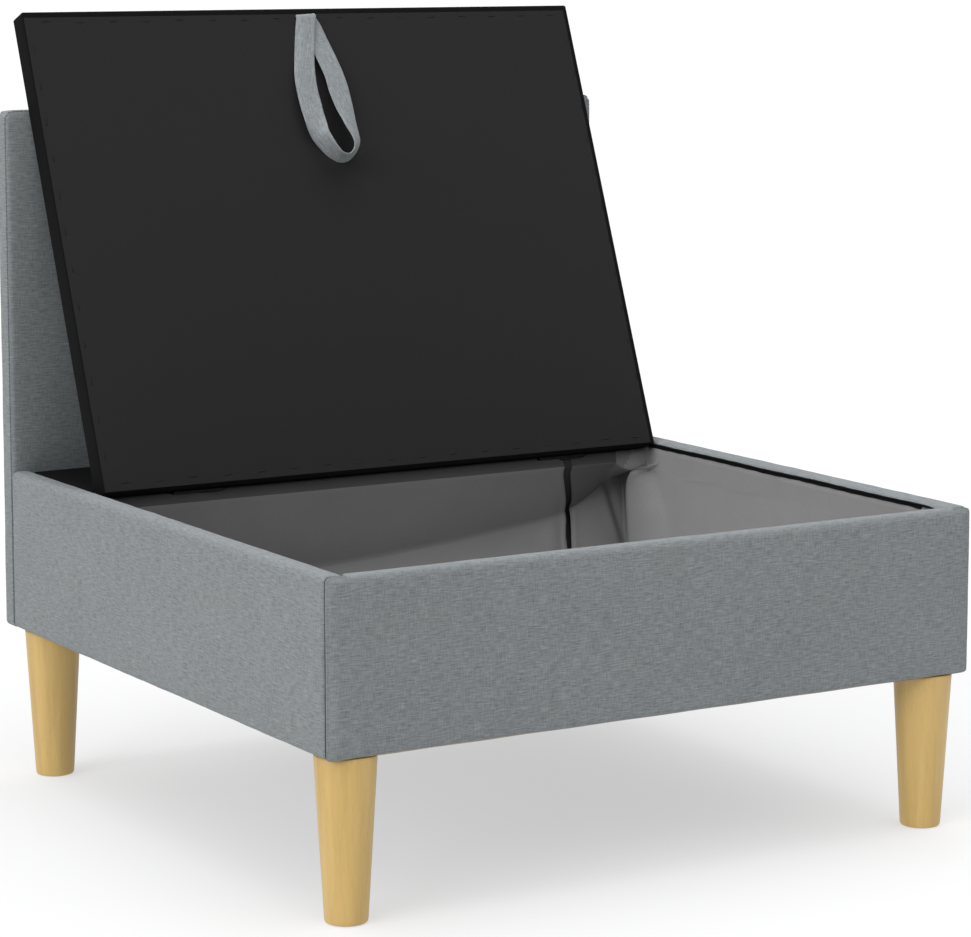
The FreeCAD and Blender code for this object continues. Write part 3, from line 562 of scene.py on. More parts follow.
def coords(o):
    co = np.zeros(len(o.data.vertices) * 3)
    o.data.vertices.foreach_get("co", co)
    return co.reshape(-1, 3)


def set_coords(o, co):
    o.data.vertices.foreach_set("co", np.asarray(co, np.float32).ravel())
    o.data.update()


def normals(o):
    o.data.update()
    n = np.zeros(len(o.data.vertices) * 3)
    o.data.vertices.foreach_get("normal", n)
    return n.reshape(-1, 3)


def swell(o, pins, pressure=4.0, cap=0.0015, frames=20, hand=None, stiff=12.0):
    """Cloth simulation under pressure, gravity off, pinned along its seams; the swelling is kept under
    cap."""
    rest = coords(o)
    group = o.vertex_groups.new(name="pins")
    for w in np.unique(np.round(pins, 2)):
        if w > 0:
            group.add([int(i) for i in np.nonzero(np.round(pins, 2) == w)[0]], float(w), "REPLACE")
    mod = o.modifiers.new("Cloth", "CLOTH")
    s = mod.settings
    s.quality = 4
    s.mass = 0.3
    s.air_damping = 3.0
    s.tension_stiffness = s.compression_stiffness = stiff
    s.shear_stiffness = stiff * 0.5
    s.bending_stiffness = 0.5
    s.vertex_group_mass = "pins"
    s.pin_stiffness = 1.0
    s.use_pressure = True
    s.uniform_pressure_force = pressure
    s.effector_weights.gravity = 0.0
    mod.collision_settings.use_collision = False
    mod.collision_settings.use_self_collision = False
    mod.point_cache.frame_start, mod.point_cache.frame_end = 1, frames
    for f in range(1, frames + 1):
        scene.frame_set(f)
    dg = bpy.context.evaluated_depsgraph_get()
    done = o.evaluated_get(dg).to_mesh()
    co = np.zeros(len(done.vertices) * 3)
    done.vertices.foreach_get("co", co)
    o.evaluated_get(dg).to_mesh_clear()
    o.modifiers.remove(mod)
    o.vertex_groups.clear()
    scene.frame_set(1)
    d = co.reshape(-1, 3) - rest
    if not np.isfinite(d).all():
        return o
    ends = np.zeros(len(o.data.edges) * 2, dtype=np.int32)
    o.data.edges.foreach_get("vertices", ends)
    a, b = ends.reshape(-1, 2).T
    count = np.maximum(np.bincount(ends, minlength=len(rest)), 1)[:, None]
    for _ in range(10):  # evens out the zigzag between neighbouring rows
        total = np.zeros_like(d)
        np.add.at(total, a, d[b])
        np.add.at(total, b, d[a])
        d = np.where(pins[:, None] > 0.99, 0.0, 0.5 * d + 0.5 * total / count)
    r = np.linalg.norm(d, axis=1, keepdims=True)
    set_coords(o, rest + d * (cap * np.tanh(r / cap) / np.maximum(r, 1e-9)))
    return o


def refine(o, levels=1):
    """One subdivision, applied."""
    mod = o.modifiers.new("sub", "SUBSURF")
    mod.levels = mod.render_levels = levels
    mod.boundary_smooth = "PRESERVE_CORNERS"
    dg = bpy.context.evaluated_depsgraph_get()
    me = bpy.data.meshes.new_from_object(o.evaluated_get(dg))
    o.modifiers.remove(mod)
    old = o.data
    o.data = me
    bpy.data.meshes.remove(old)
    me.name = o.name
    me.polygons.foreach_set("use_smooth", [True] * len(me.polygons))
    return o


def solid(o, thickness, offset=-1.0):
    mod = o.modifiers.new("thick", "SOLIDIFY")
    mod.thickness = thickness
    mod.offset = offset
    mod.use_rim = True
    dg = bpy.context.evaluated_depsgraph_get()
    me = bpy.data.meshes.new_from_object(o.evaluated_get(dg))
    o.modifiers.remove(mod)
    old = o.data
    o.data = me
    bpy.data.meshes.remove(old)
    me.name = o.name
    return o


def smooth_noise(points, scale, seed):
    """A smooth field of a few fixed waves, between about -1 and 1, for hand-made unevenness."""
    r = np.random.default_rng(seed)
    out = np.zeros(len(points))
    for _ in range(7):
        k = r.normal(size=3) * (2 * math.pi / scale)
        out += np.sin(points @ k + r.uniform(0, 2 * math.pi))
    return out / 3.2


def bell(x, width):
    return np.exp(-((x / width) ** 2))


# ----------------------------------------------------------------------- rails
def rail_pins(co, lo, hi, edge):
    """1 on the seams round a rail's long edges, easing off over edge mm."""
    w = co * 1000 + np.array([OX, OY, 0])
    dist = []
    for i in range(3):
        dist.append(np.minimum(w[:, i] - lo[i], hi[i] - w[:, i]))
    d = np.sort(np.array(dist), axis=0)[1]
    return np.clip(1 - d / edge, 0, 1)


def front_shape(p2, p, nrm):
    """The front rail's ends run in front of the side rails, so they are thin there."""
    x, y = p2[:, 0], p2[:, 1].copy()
    k = np.clip((np.minimum(x, 750 - x) - 21.5) / 3.5, 0, 1)
    k = k * k * (3 - 2 * k)
    thin = np.where(y > 3.0, np.where(y > 12.8, 4.7 + (y - 12.8) * 2.1 / 7.0, 3.0 + (y - 3.0) * 1.7 / 9.8), y)
    y = thin * (1 - k) + y * k
    out = p2.copy()
    out[:, 1] = y
    # seen from the front, the corners are nearly square
    a, c = np.abs(nrm[:, 0]), np.abs(nrm[:, 2])
    r = np.sqrt(a * a + c * c)
    square = np.where((a > 1e-6) & (c > 1e-6), r / np.maximum((a**3.6 + c**3.6) ** (1 / 3.6), 1e-9) - 1.0, 0.0)
    out[:, 0] += 11.0 * nrm[:, 0] * square
    out[:, 2] += np.where(nrm[:, 2] > 0, 7.0, 5.0) * nrm[:, 2] * square
    return out


RZ0, RZ1 = 162.6, 333.6
front = pad_box("front_rail_pad", (0.4, 0.4, RZ0), (749.6, 19.8, RZ1 + 1.5), (11.0, 6.5, 5.0), (11.0, 7.0, 7.0), step=9.0, k=5,
                along="x", extra={"shape": front_shape, "cuts": {0: [20, 21.5, 22.6, 23.7, 25, 26.5, 723.5, 725, 726.3, 727.4, 728.5, 730]}}, shift=(0, 0))
swell(front, rail_pins(coords(front), (0.4, 0.4, RZ0), (749.6, 20.0, RZ1 + 1.5), 14.0), cap=0.0011)

left = pad_box("left_rail_pad", (0.4, 7.3, RZ0), (23.4, 719.4, RZ1 + 2.2), (6.5, 4.4, 5.0), (9.0, 2.0, 7.0), step=9.0, k=4,
               along="y", shift=(311.0, 7.0))
swell(left, rail_pins(coords(left), (0.4, 7.1, RZ0), (23.6, 719.4, RZ1 + 2.2), 14.0), cap=0.0011)
right = pad_box("right_rail_pad", (726.6, 7.3, RZ0), (749.6, 719.4, RZ1 + 2.2), (9.0, 3.2, 5.0), (5.5, 2.0, 6.0), step=9.0, k=4,
                along="y", shift=(1711.0, 407.0))
swell(right, rail_pins(coords(right), (726.4, 7.1, RZ0), (749.6, 719.4, RZ1 + 2.2), 14.0), cap=0.0011)


# -------------------------------------------------------------------- backrest
BZ1 = 727.6
back = pad_box("backrest_pad", (0.4, 720.3, 162.4), (749.6, 745.8, BZ1), (4.5, 3.0, 6.0), (4.5, 5.5, 8.0), step=11.0, k=4,
               along="x", shift=(3000.0, 900.0),
               extra={"cuts": {1: [722.4, 723.4]}})
wb = coords(back) * 1000 + np.array([OX, OY, 0])
# the top corners are rounder, seen from the front
for sx, cx in ((-1, 10.0), (1, 740.0)):
    m_ = (sx * (wb[:, 0] - cx) > 0) & (wb[:, 2] > BZ1 - 10)
    dx, dz = (wb[m_, 0] - cx) / 10.0, (wb[m_, 2] - (BZ1 - 10)) / 10.0
    big = np.maximum(np.abs(dx), np.abs(dz))
    r_ = np.sqrt(dx**2 + dz**2)
    f = np.where(r_ > 1e-6, big / np.maximum(r_, 1e-6), 1.0)
    f = 1 - (1 - f) * 0.9
    wb[m_, 0], wb[m_, 2] = cx + dx * f * 10.0, BZ1 - 10 + dz * f * 10.0
set_coords(back, P(wb))
swell(back, rail_pins(coords(back), (0.4, 720.3, 162.4), (749.6, 745.8, BZ1), 16.0), cap=0.0016)


def groove(o, test, depth, soft=None):
    """Draws points in along their normals, as a seam does. test gives a weight for points in working mm."""
    w = coords(o) * 1000 + np.array([OX, OY, 0])
    n = normals(o)
    k = test(w, n)
    set_coords(o, P(w - n * (k * depth)[:, None]))


for o in (front, left, right, back):
    refine(o)
    w = coords(o) * 1000 + np.array([OX, OY, 0])
    n = normals(o)
    # slight unevenness of hand-pulled covers, on all faces alike
    amp = 0.30 * smooth_noise(w, 160.0, 3) + 0.12 * smooth_noise(w, 45.0, 5)
    set_coords(o, P(w + n * amp[:, None] * 0.6))

# the back's side seams: a narrow valley just behind the front edge, on both ends and over the top
groove(back, lambda w, n: bell(w[:, 1] - 722.0, 0.9) * np.clip((np.abs(n[:, 0]) + np.maximum(n[:, 2], 0)) * 1.3, 0, 1), 0.9)

# the corner seams: where the side covers meet the front one, a dark strip set in the groove is painted shadow of the
# seam gap
seam_shade_strips = []
for side_, xa, xb, ra, rb in (("left", 1.0, 21.0, 5.0, 1.5), ("right", 729.0, 749.0, 1.5, 5.0)):
    seam_shade_strips.append(pad_box("corner_seam_shade_" + side_, (xa, 5.7, 163.6), (xb, 8.6, 334.6), (ra, 0.8, 3.0), (rb, 0.8, 5.0), step=14.0, k=3,
                         along="x", mat=SEAM_SHADE))


def stitch_row(name, points, along, out, length=3.0, gap=1.9, r=0.34, mat=None, body="base"):
    """Short stitches lying along a line of points (working mm), sunk a little at both ends."""
    p = np.asarray(points, float)
    run = np.concatenate([[0], np.cumsum(np.linalg.norm(np.diff(p, axis=0), axis=1))])
    verts, faces, uvs = [], [], []
    ring = [(math.cos(a), math.sin(a)) for a in np.linspace(0, 2 * math.pi, 7)[:-1]]
    prof = [(-0.5, -0.7, 0.5), (-0.42, 0.0, 0.9), (-0.2, 0.28, 1.0), (0.2, 0.28, 1.0), (0.42, 0.0, 0.9), (0.5, -0.7, 0.5)]
    s_ = 2.0
    while s_ < run[-1] - 2.0:
        c = np.array([np.interp(s_, run, p[:, i]) for i in range(3)])
        d = np.array([np.interp(s_ + 0.8, run, p[:, i]) - np.interp(s_ - 0.8, run, p[:, i]) for i in range(3)])
        d /= np.linalg.norm(d)
        o_ = np.array([np.interp(s_, run, out[:, i]) for i in range(3)])
        o_ /= np.linalg.norm(o_)
        side = np.cross(d, o_)
        base = len(verts)
        n_ = length * RNG.uniform(0.92, 1.08)
        for a, h, f in prof:
            for u, v in ring:
                verts.append(c + d * a * n_ + o_ * (h * 0.8 + r * v * f) + side * (r * u * f))
        m_ = len(ring)
        for i in range(len(prof) - 1):
            for j in range(m_):
                faces.append([base + i * m_ + j, base + i * m_ + (j + 1) % m_, base + (i + 1) * m_ + (j + 1) % m_, base + (i + 1) * m_ + j])
                uvs += [(0, 0)] * 4
        faces.append([base + j for j in range(m_)][::-1])
        faces.append([base + (len(prof) - 1) * m_ + j for j in range(m_)])
        uvs += [(0, 0)] * (2 * m_)
        s_ += length + gap
    return make(name, P(np.array(verts)), faces, uvs, mat or THREAD, body)


def over_back():
    """The line of the back's side seam: up one end, over the top and down the other."""
    pts, outs = [], []
    for z in np.linspace(167, 716, 120):
        pts.append((0.75, 722.1, z))
        outs.append((-1, 0, 0))
    for a in np.linspace(0, math.pi / 2, 8)[1:-1]:
        pts.append((10.2 - 9.4 * math.cos(a), 722.1, 717.0 + 9.6 * math.sin(a)))
        outs.append((-math.cos(a), 0, math.sin(a)))
    for x in np.linspace(12, 738, 150):
        pts.append((x, 722.1, 726.75))
        outs.append((0, 0, 1))
    for a in np.linspace(math.pi / 2, 0, 8)[1:-1]:
        pts.append((739.8 + 8.4 * math.cos(a), 722.1, 717.0 + 9.6 * math.sin(a)))
        outs.append((math.cos(a), 0, math.sin(a)))
    for z in np.linspace(716, 167, 120):
        pts.append((748.2, 722.1, z))
        outs.append((1, 0, 0))
    return np.array(pts, float), np.array(outs, float)


seam_pts, seam_outs = over_back()
stitches = stitch_row("backrest_stitches", seam_pts, None, seam_outs)

# ------------------------------------------------------------------------- deck
deck = pad_box("deck_cushion", (25.0, 570.8, 323.0), (725.0, 719.6, 333.4), (3.0, 3.5, 1.0), (3.0, 2.5, 3.5), step=12.0, k=3,
               along="x", mat=LID_CLOTH, shift=(500.0, 4000.0))
swell(deck, rail_pins(coords(deck), (25.0, 570.8, 323.0), (725.0, 719.6, 333.4), 10.0), cap=0.0012)
refine(deck)

# -------------------------------------------------------------------------- lid
lid_skin = pad_box("lid_shell", (27.4, -2.8, -26.6), (722.6, 532.4, -0.2), (2.4, 2.2, 3.5), (2.4, 1.4, 1.2), step=12.0, k=3,
                   along="x", mat=LID_CLOTH, shift=(0.0, 5000.0), place=lid, body="lid")

# staples: positions as in part.py, in the lid's frame
STAPLES = []
for k in range(17):
    x = 27.0 + 26.0 + (696.0 - 52.0) * k / 16
    if abs(x - 375.0) > 30.0:
        STAPLES.append((x, 9.0, True))
    STAPLES.append((x, 523.0, True))
for k in range(12):
    s = 40.0 + (532.0 - 80.0) * k / 11
    STAPLES.append((27.0 + 8.0, s, False))
    STAPLES.append((723.0 - 8.0, s, False))


def lining_height(x, s):
    """Height of the stapled lining over the lid's underside."""
    h = 0.22 + 0.0 * x
    for sx, ss, flat in STAPLES:
        a, b = (6.5, 2.6) if flat else (2.6, 6.5)
        h = h - 0.40 * np.exp(-(((x - sx) / a) ** 2) - ((s - ss) / b) ** 2)
    edge = np.minimum(np.minimum(x - 29, 717 - x), np.minimum(s - 4, 531.0 - s))
    h = h + 0.10 * np.sin(x / 12.8) * np.exp(-np.maximum(edge, 0) / 9.0) * (np.minimum(s - 4, 531.0 - s) < 18)
    h = h + 0.07 * np.sin(s / 14.9) * np.exp(-np.maximum(edge, 0) / 9.0) * (np.minimum(x - 29, 717 - x) < 18)
    pts = np.stack([x, s, np.zeros_like(x)], -1)
    h = h + 0.08 * smooth_noise(pts.reshape(-1, 3), 210.0, 11).reshape(x.shape)
    return h


def grid_sheet(name, xs, ss, height, mat, body, place, shift=(0, 0)):
    gx, gs = np.meshgrid(xs, ss)
    h = height(gx, gs)
    pts = np.stack([gx, gs, h], -1).reshape(-1, 3)
    nx, ns = len(xs), len(ss)
    faces, uvs = [], []
    for j in range(ns - 1):
        for i in range(nx - 1):
            ids = [j * nx + i, (j + 1) * nx + i, (j + 1) * nx + i + 1, j * nx + i + 1]
            faces.append(ids)
            for q in ids:
                uvs.append(((pts[q, 0] + shift[0]) / 1000, (pts[q, 1] + shift[1]) / 1000))
    return make(name, P(place(pts)), faces, uvs, mat, body)


lx = np.unique(np.concatenate([np.linspace(29, 717, 141), np.array([29.4, 716.6])]))
ls = np.unique(np.concatenate([np.linspace(4, 531.0, 107), np.array([4.4, 530.6])]))
lining = grid_sheet("lid_lining_sheet", lx, ls, lining_height, LINING, "lid", lid, shift=(0, 7000))
solid(lining, 0.0006, offset=-1.0)


def staple_mesh():
    """Wire staples, each a flattened bar whose ends turn down into the lining."""
    verts, faces, uvs = [], [], []
    path = [(-5.0, -0.8), (-4.95, -0.1), (-4.7, 0.32), (-4.2, 0.46), (0, 0.5), (4.2, 0.46), (4.7, 0.32), (4.95, -0.1), (5.0, -0.8)]
    ring = [(math.cos(a), math.sin(a)) for a in np.linspace(0, 2 * math.pi, 9)[:-1]]
    for sx, ss, flat in STAPLES:
        dx, ds = RNG.uniform(-0.8, 0.8), RNG.uniform(-0.9, 0.9)
        turn = RNG.uniform(-0.07, 0.07)
        c, s_ = math.cos(turn), math.sin(turn)
        base = len(verts)
        for a, h in path:
            for u, v in ring:
                along, side, up = a, 0.48 * u, h + 0.26 * v
                x, y = (along * c - side * s_, along * s_ + side * c)
                if not flat:
                    x, y = -y, x
                verts.append((sx + dx + x, ss + ds + y, up - 0.27))
        m_ = len(ring)
        for i in range(len(path) - 1):
            for j in range(m_):
                ids = [base + i * m_ + j, base + i * m_ + (j + 1) % m_, base + (i + 1) * m_ + (j + 1) % m_, base + (i + 1) * m_ + j]
                faces.append(ids)
                uvs += [(0, 0)] * 4
    return make("lid_staple_wires", P(lid(np.array(verts))), faces, uvs, WIRE, "lid")


staples = staple_mesh()


# ------------------------------------------------------------------------ strap
# the two edges of the hanging loop in the lid's frame, measured from the middle of the lid: (x, s, h) of the
# outer edge, then of the inner edge
STRAP = [
    (-16.2, 12.4, -0.9, 7.9, 11.6, -0.9),
    (-15.9, 7.9, -0.3, 8.1, 7.0, -0.3),
    (-15.8, 6.1, 1.2, 8.2, 5.1, 1.5),
    (-16.0, 7.0, 3.1, 8.1, 5.9, 3.9),
    (-16.9, 11.5, 4.0, 7.2, 10.5, 5.2),
    (-20.6, 27.2, 4.1, 2.4, 27.3, 5.5),
    (-25.5, 46.6, 4.7, -2.7, 47.7, 6.5),
    (-30.6, 65.9, 5.9, -6.6, 65.7, 7.3),
    (-34.5, 83.5, 7.3, -8.7, 81.7, 7.9),
    (-35.9, 102.5, 8.8, -9.7, 98.0, 8.9),
    (-35.8, 118.5, 10.2, -9.3, 111.3, 10.3),
    (-34.5, 133.0, 11.2, -9.6, 124.3, 12.4),
    (-31.8, 145.5, 10.0, -10.7, 137.5, 17.0),
    (-26.0, 154.8, 6.0, -13.7, 150.1, 24.4),
    (-17.4, 166.0, 4.5, -12.5, 161.8, 29.4),
    (-9.8, 174.9, 5.4, -9.7, 170.6, 31.5),
    (-2.0, 180.8, 6.5, -6.4, 176.6, 32.4),
    (5.6, 182.6, 7.4, -2.1, 179.4, 32.6),
    (13.7, 180.2, 8.4, 2.7, 179.4, 32.5),
    (21.3, 174.2, 9.3, 7.5, 176.2, 31.9),
    (27.3, 166.5, 9.9, 11.1, 170.9, 30.8),
    (30.7, 159.0, 10.2, 12.7, 165.2, 29.3),
    (31.0, 150.9, 10.1, 12.2, 157.3, 27.3),
    (30.5, 139.5, 9.8, 9.6, 147.0, 24.1),
    (30.5, 126.4, 9.5, 7.8, 134.8, 19.7),
    (30.2, 110.7, 9.5, 5.4, 120.1, 14.9),
    (29.3, 90.7, 8.4, 3.3, 99.8, 10.7),
    (26.9, 72.8, 6.6, 2.8, 82.4, 8.5),
    (23.1, 55.1, 4.8, -0.9, 63.4, 6.0),
    (18.3, 35.6, 2.6, -5.4, 43.7, 3.6),
    (13.8, 18.5, 1.5, -10.3, 24.3, 2.0),
    (11.3, 12.2, 0.9, -12.8, 14.0, 1.2),
    (10.6, 9.0, -0.6, -13.5, 10.4, -0.7),
]


def curve_through(points, per):
    """Catmull-Rom through the points, per steps in each gap."""
    p = np.asarray(points, float)
    q = np.vstack([2 * p[0] - p[1], p, 2 * p[-1] - p[-2]])
    out = []
    for i in range(1, len(q) - 2):
        for t in np.linspace(0, 1, per, endpoint=False):
            a, b, c, d = q[i - 1], q[i], q[i + 1], q[i + 2]
            out.append(0.5 * (2 * b + (c - a) * t + (2 * a - 5 * b + 4 * c - d) * t**2 + (3 * b - a - 3 * c + d) * t**3))
    out.append(q[-2])
    return np.array(out)


def strap_mesh():
    rows = curve_through(STRAP, 5)
    a = rows[:, :3] + np.array([375.0, 0, 0])
    b = rows[:, 3:] + np.array([375.0, 0, 0])
    mid = (a + b) / 2
    tan = np.gradient(mid, axis=0)
    tan /= np.linalg.norm(tan, axis=1, keepdims=True)
    wid = b - a
    nrm = np.cross(tan, wid)
    nrm /= np.linalg.norm(nrm, axis=1, keepdims=True)
    run = np.concatenate([[0], np.cumsum(np.linalg.norm(np.diff(mid, axis=0), axis=1))])
    # across the strap: folded hems make the edges thicker than the middle
    ws = np.array([0.0, 0.012, 0.035, 0.075, 0.125, 0.165, 0.205, 0.30, 0.42, 0.5, 0.58, 0.70, 0.795, 0.835, 0.875, 0.925, 0.965, 0.988, 1.0])
    half = np.array([0.0, 0.42, 0.70, 0.82, 0.80, 0.62, 0.50, 0.48, 0.48, 0.48, 0.48, 0.48, 0.50, 0.62, 0.80, 0.82, 0.70, 0.42, 0.0])
    verts, uvs_v = [], []
    n_up = len(ws)
    total = run[-1]
    for k in range(len(mid)):
        # the lying legs bow up a little in the middle, away from the lid
        lift = 1.1 * math.exp(-((run[k] - 25) / 45) ** 2) + 0.5 * math.exp(-((total - run[k]) / 60) ** 2)
        ring = []
        curl = 3.4 * math.exp(-(((run[k] - 45) / 50) ** 2)) * min(1.0, run[k] / 22.0)

        def rise(w):
            return lift * (1 - (2 * w - 1) ** 2) - curl * max(0.0, (0.27 - w) / 0.27) ** 1.6

        for w, t in zip(ws, half):
            c = a[k] + wid[k] * w + np.array([0, 0, 1.0]) * rise(w)
            ring.append((c + nrm[k] * t, w))
        for w, t in zip(ws[::-1][1:-1], half[::-1][1:-1]):
            c = a[k] + wid[k] * w + np.array([0, 0, 1.0]) * rise(w)
            ring.append((c - nrm[k] * t, w))
        verts += [r[0] for r in ring]
        uvs_v += [(run[k] / 1000, r[1] * 0.026) for r in ring]
    m_ = 2 * n_up - 2
    faces, uvs = [], []
    for k in range(len(mid) - 1):
        for j in range(m_):
            ids = [k * m_ + j, k * m_ + (j + 1) % m_, (k + 1) * m_ + (j + 1) % m_, (k + 1) * m_ + j]
            faces.append(ids)
            uvs += [uvs_v[i] for i in ids]
    for k, flip in ((0, True), (len(mid) - 1, False)):
        ids = [k * m_ + j for j in range(m_)]
        ids = ids if flip else ids[::-1]
        faces.append(ids)
        uvs += [uvs_v[i] for i in ids]
    o = make("pull_strap_ribbon", P(lid(np.array(verts))), faces, uvs, STRAP_LINEN, "strap")
    import bmesh

    bm = bmesh.new()
    bm.from_mesh(o.data)
    bmesh.ops.recalc_face_normals(bm, faces=bm.faces)
    bm.to_mesh(o.data)
    bm.free()
    return o, run[-1]


strap, strap_length = strap_mesh()

# ------------------------------------------------------------------------ liner
# The back of the bag. From the deck's front edge it slopes down and back to a fold, and below the fold it is the
# back wall proper. The fold rises towards the right corner. A pleat stands open in it, on the right.
FOLD_X = [25, 300, 400, 500, 560, 609.3, 623, 639.4, 660.9, 689.1, 707.2, 716.0, 725]
FOLD_Z = [208, 216, 222, 231, 238, 244.5, 248.2, 253.2, 261.0, 277.2, 293.5, 296.0, 297.0]
PLEAT_Z = [183.2, 195, 211, 223, 234.5, 242, 250, 262, 269, 286, 304, 323.4, 330]
PLEAT_L = [645.0, 645.0, 644.5, 643.9, 645.0, 646.4, 645.6, 640.6, 636.7, 625.5, 613.9, 606.7, 606.6]
PLEAT_R = [649.0, 649.4, 650.2, 651.0, 651.4, 651.6, 650.4, 647.6, 644.2, 633.6, 623.3, 618.2, 618.1]
LINER_TOP = 325.8
N_WALL, N_SLOPE, N_STRIP = 15, 15, 4
BACK_Y, EDGE_Y, EDGE_Z = 608.0, 557.1, 313.3
# beside the back the right wall leaves its board and rolls into a rounded fold, which hides the corner behind it
ROLL_Z = [183.0, 218.0, 253.6, 282.0, 292.0, 300.0, 306.0]
ROLL_X = [707.0, 703.6, 700.6, 699.0, 698.6, 698.6, 699.0]
ROLL_Y = [570.0, 568.0, 568.0, 567.0, 563.0, 557.8, 557.3]
ROLL_START = [505.0, 508.0, 515.0, 532.0, 543.0, 554.5, 556.6]


def back_profile(x):
    """(Y, z) up the bag's back at one X, always with the same number of rows."""
    zf = float(np.interp(x, FOLD_X, FOLD_Z))
    edge = float(np.interp(x, [684.0, 691.0, 700.0, 725.0], [EDGE_Z, 306.0, 302.0, 301.0]))
    rows = [(593.0, 183.2), (596.6, 185.2), (598.0, 189.5)]
    for u in np.linspace(0, 1, N_WALL + 1)[1:]:
        z = 189.5 + (zf - 189.5) * u
        rows.append((BACK_Y - 10.0 * (1 - u) ** 1.5, z))
    for u in np.linspace(0, 1, N_SLOPE + 1)[1:]:
        rows.append((BACK_Y + (EDGE_Y - BACK_Y) * u, zf + (edge - zf) * u - min(1.2, 0.08 * (edge - zf)) * math.sin(math.pi * u)))
    for u in np.linspace(0, 1, N_STRIP + 1)[1:]:
        rows.append((EDGE_Y - 0.1 * u, edge + (LINER_TOP - edge) * u))
    return np.array(rows)


def liner_mesh():
    # plan outline, counter-clockwise from the front left; the back right corner is folded sharp
    x0, x1, y0, y1, r = 25.2, 724.8, 21.2, BACK_Y, 9.0
    plan = []

    def arc(cx, cy, a0, a1, r=r):
        for a in np.linspace(a0, a1, 6):
            plan.append((cx + r * math.cos(a), cy + r * math.sin(a), math.cos(a), math.sin(a)))

    def run(p, q, step, nx, ny):
        length = math.hypot(q[0] - p[0], q[1] - p[1])
        for t in np.linspace(0, 1, max(2, int(length / step)) + 1)[1:-1]:
            plan.append((p[0] + (q[0] - p[0]) * t, p[1] + (q[1] - p[1]) * t, nx, ny))

    rb = 2.2
    arc(x0 + r, y0 + r, math.pi, 1.5 * math.pi)
    run((x0 + r, y0), (x1 - r, y0), 14, 0, -1)
    arc(x1 - r, y0 + r, -math.pi / 2, 0)
    run((x1, y0 + r), (x1, 500.0), 9, 1, 0)
    run((x1, 500.0), (x1, y1 - rb), 5, 1, 0)
    arc(x1 - rb, y1 - rb, 0, math.pi / 2, rb)
    xs = np.concatenate([np.arange(719.6, 653.0, -2.6), np.arange(652.0, 641.9, -1.0), np.arange(634.0, 622.0, -1.0),
                         np.arange(620.6, 560.0, -2.6), np.arange(552.0, 36.0, -12.0)])
    gap = len(plan) + int(np.argmin(np.abs(xs - 642.0)))  # the pleat's right edge; the next column is its left one
    for x in xs:
        plan.append((x, y1, 0.0, 1.0))
    arc(x0 + r, y1 - r, math.pi / 2, math.pi)
    run((x0, y1 - r), (x0, y0 + r), 12, -1, 0)
    plan = np.array(plan)
    n = len(plan)
    profs = np.array([back_profile(x) for x in plan[:, 0]])  # n, rows, 2
    rows = profs.shape[1]
    pts = np.zeros((rows, n, 3))
    is_back = np.clip((plan[:, 1] - 590) / 14, 0, 1)
    arc_pos = np.concatenate([[0], np.cumsum(np.hypot(*np.diff(plan[:, :2], axis=0).T))])
    inward = -plan[:, 2:4]
    up = np.zeros((rows, n))
    for i in range(rows):
        yb, zb = profs[:, i, 0], profs[:, i, 1]
        y = y0 + (plan[:, 1] - y0) * (yb - y0) / (y1 - y0)
        y_top = y0 + (plan[:, 1] - y0) * (557.0 - y0) / (y1 - y0)
        top = 328.4 + (LINER_TOP - 328.4) * np.clip((y_top - 543) / 14.0, 0, 1)
        z = 183.2 + (top - 183.2) * (zb - 183.2) / (LINER_TOP - 183.2)
        x = plan[:, 0] + 0.0
        if i < 3:  # the bottom edge turns in with a small radius
            pull = (5.0, 1.4, 0.2)[i]
            x = x - plan[:, 2] * pull
            y = y - np.where(is_back > 0.5, 0, plan[:, 3] * pull)
        # the pleat: columns lean over to follow its edges
        zm = back_profile(638.0)[i, 1]
        el, er = float(np.interp(zm, PLEAT_Z, PLEAT_L)), float(np.interp(zm, PLEAT_Z, PLEAT_R))
        moved = np.interp(x, [0.0, 548.0, 634.0, 642.0, 700.0, 750.0], [0.0, 548.0, el, er, 700.0, 750.0])
        x = np.where(is_back > 0.5, moved, x)
        # the roll beside the right back corner
        wall = (plan[:, 0] > 720.0) & (plan[:, 1] > 500.0)
        rx, ry, rs = np.interp(z, ROLL_Z, ROLL_X), np.interp(z, ROLL_Z, ROLL_Y), np.interp(z, ROLL_Z, ROLL_START)
        ys = y0 + (500.0 - y0) * (yb - y0) / (y1 - y0)
        t1 = np.clip((plan[:, 1] - 500.0) / 86.0, 0, 1)
        t2 = np.clip((plan[:, 1] - 586.0) / (y1 - 586.0), 0, 1)
        yr = ys + (ry - ys) * t1
        bend = np.clip((yr - rs) / np.maximum(ry - rs, 0.5), 0, 1)
        xr = 724.6 - (724.6 - rx) * bend ** 1.35 * (1 - 0.06 * bend ** 6)
        xr, yr = xr + (724.0 - xr) * t2, yr + (np.maximum(y, yr) - yr) * t2
        on = wall * np.clip((306.0 - z) / 3.0, 0, 1)
        x, y = x + (xr - x) * on, y + (yr - y) * on
        pts[i] = np.stack([x, y, z], -1)
        t = i / (rows - 1)
        up[i] = (z - 183.2) / (LINER_TOP - 183.2)
        hang = np.sin(np.pi * np.clip(up[i], 0, 1)) ** 0.8
        wave = 0.5 + 0.5 * np.sin(arc_pos / 47.0 + 1.3 * np.sin(arc_pos / 131.0) + 0.9 * t)
        wave2 = 0.5 + 0.5 * np.sin(arc_pos / 19.0 + 2.0 * t + 1.7 * np.sin(arc_pos / 83.0))
        push = hang * ((0.6 + 0.9 * is_back) * wave + (0.20 + 0.2 * is_back) * wave2) * (1 - 0.8 * wall)
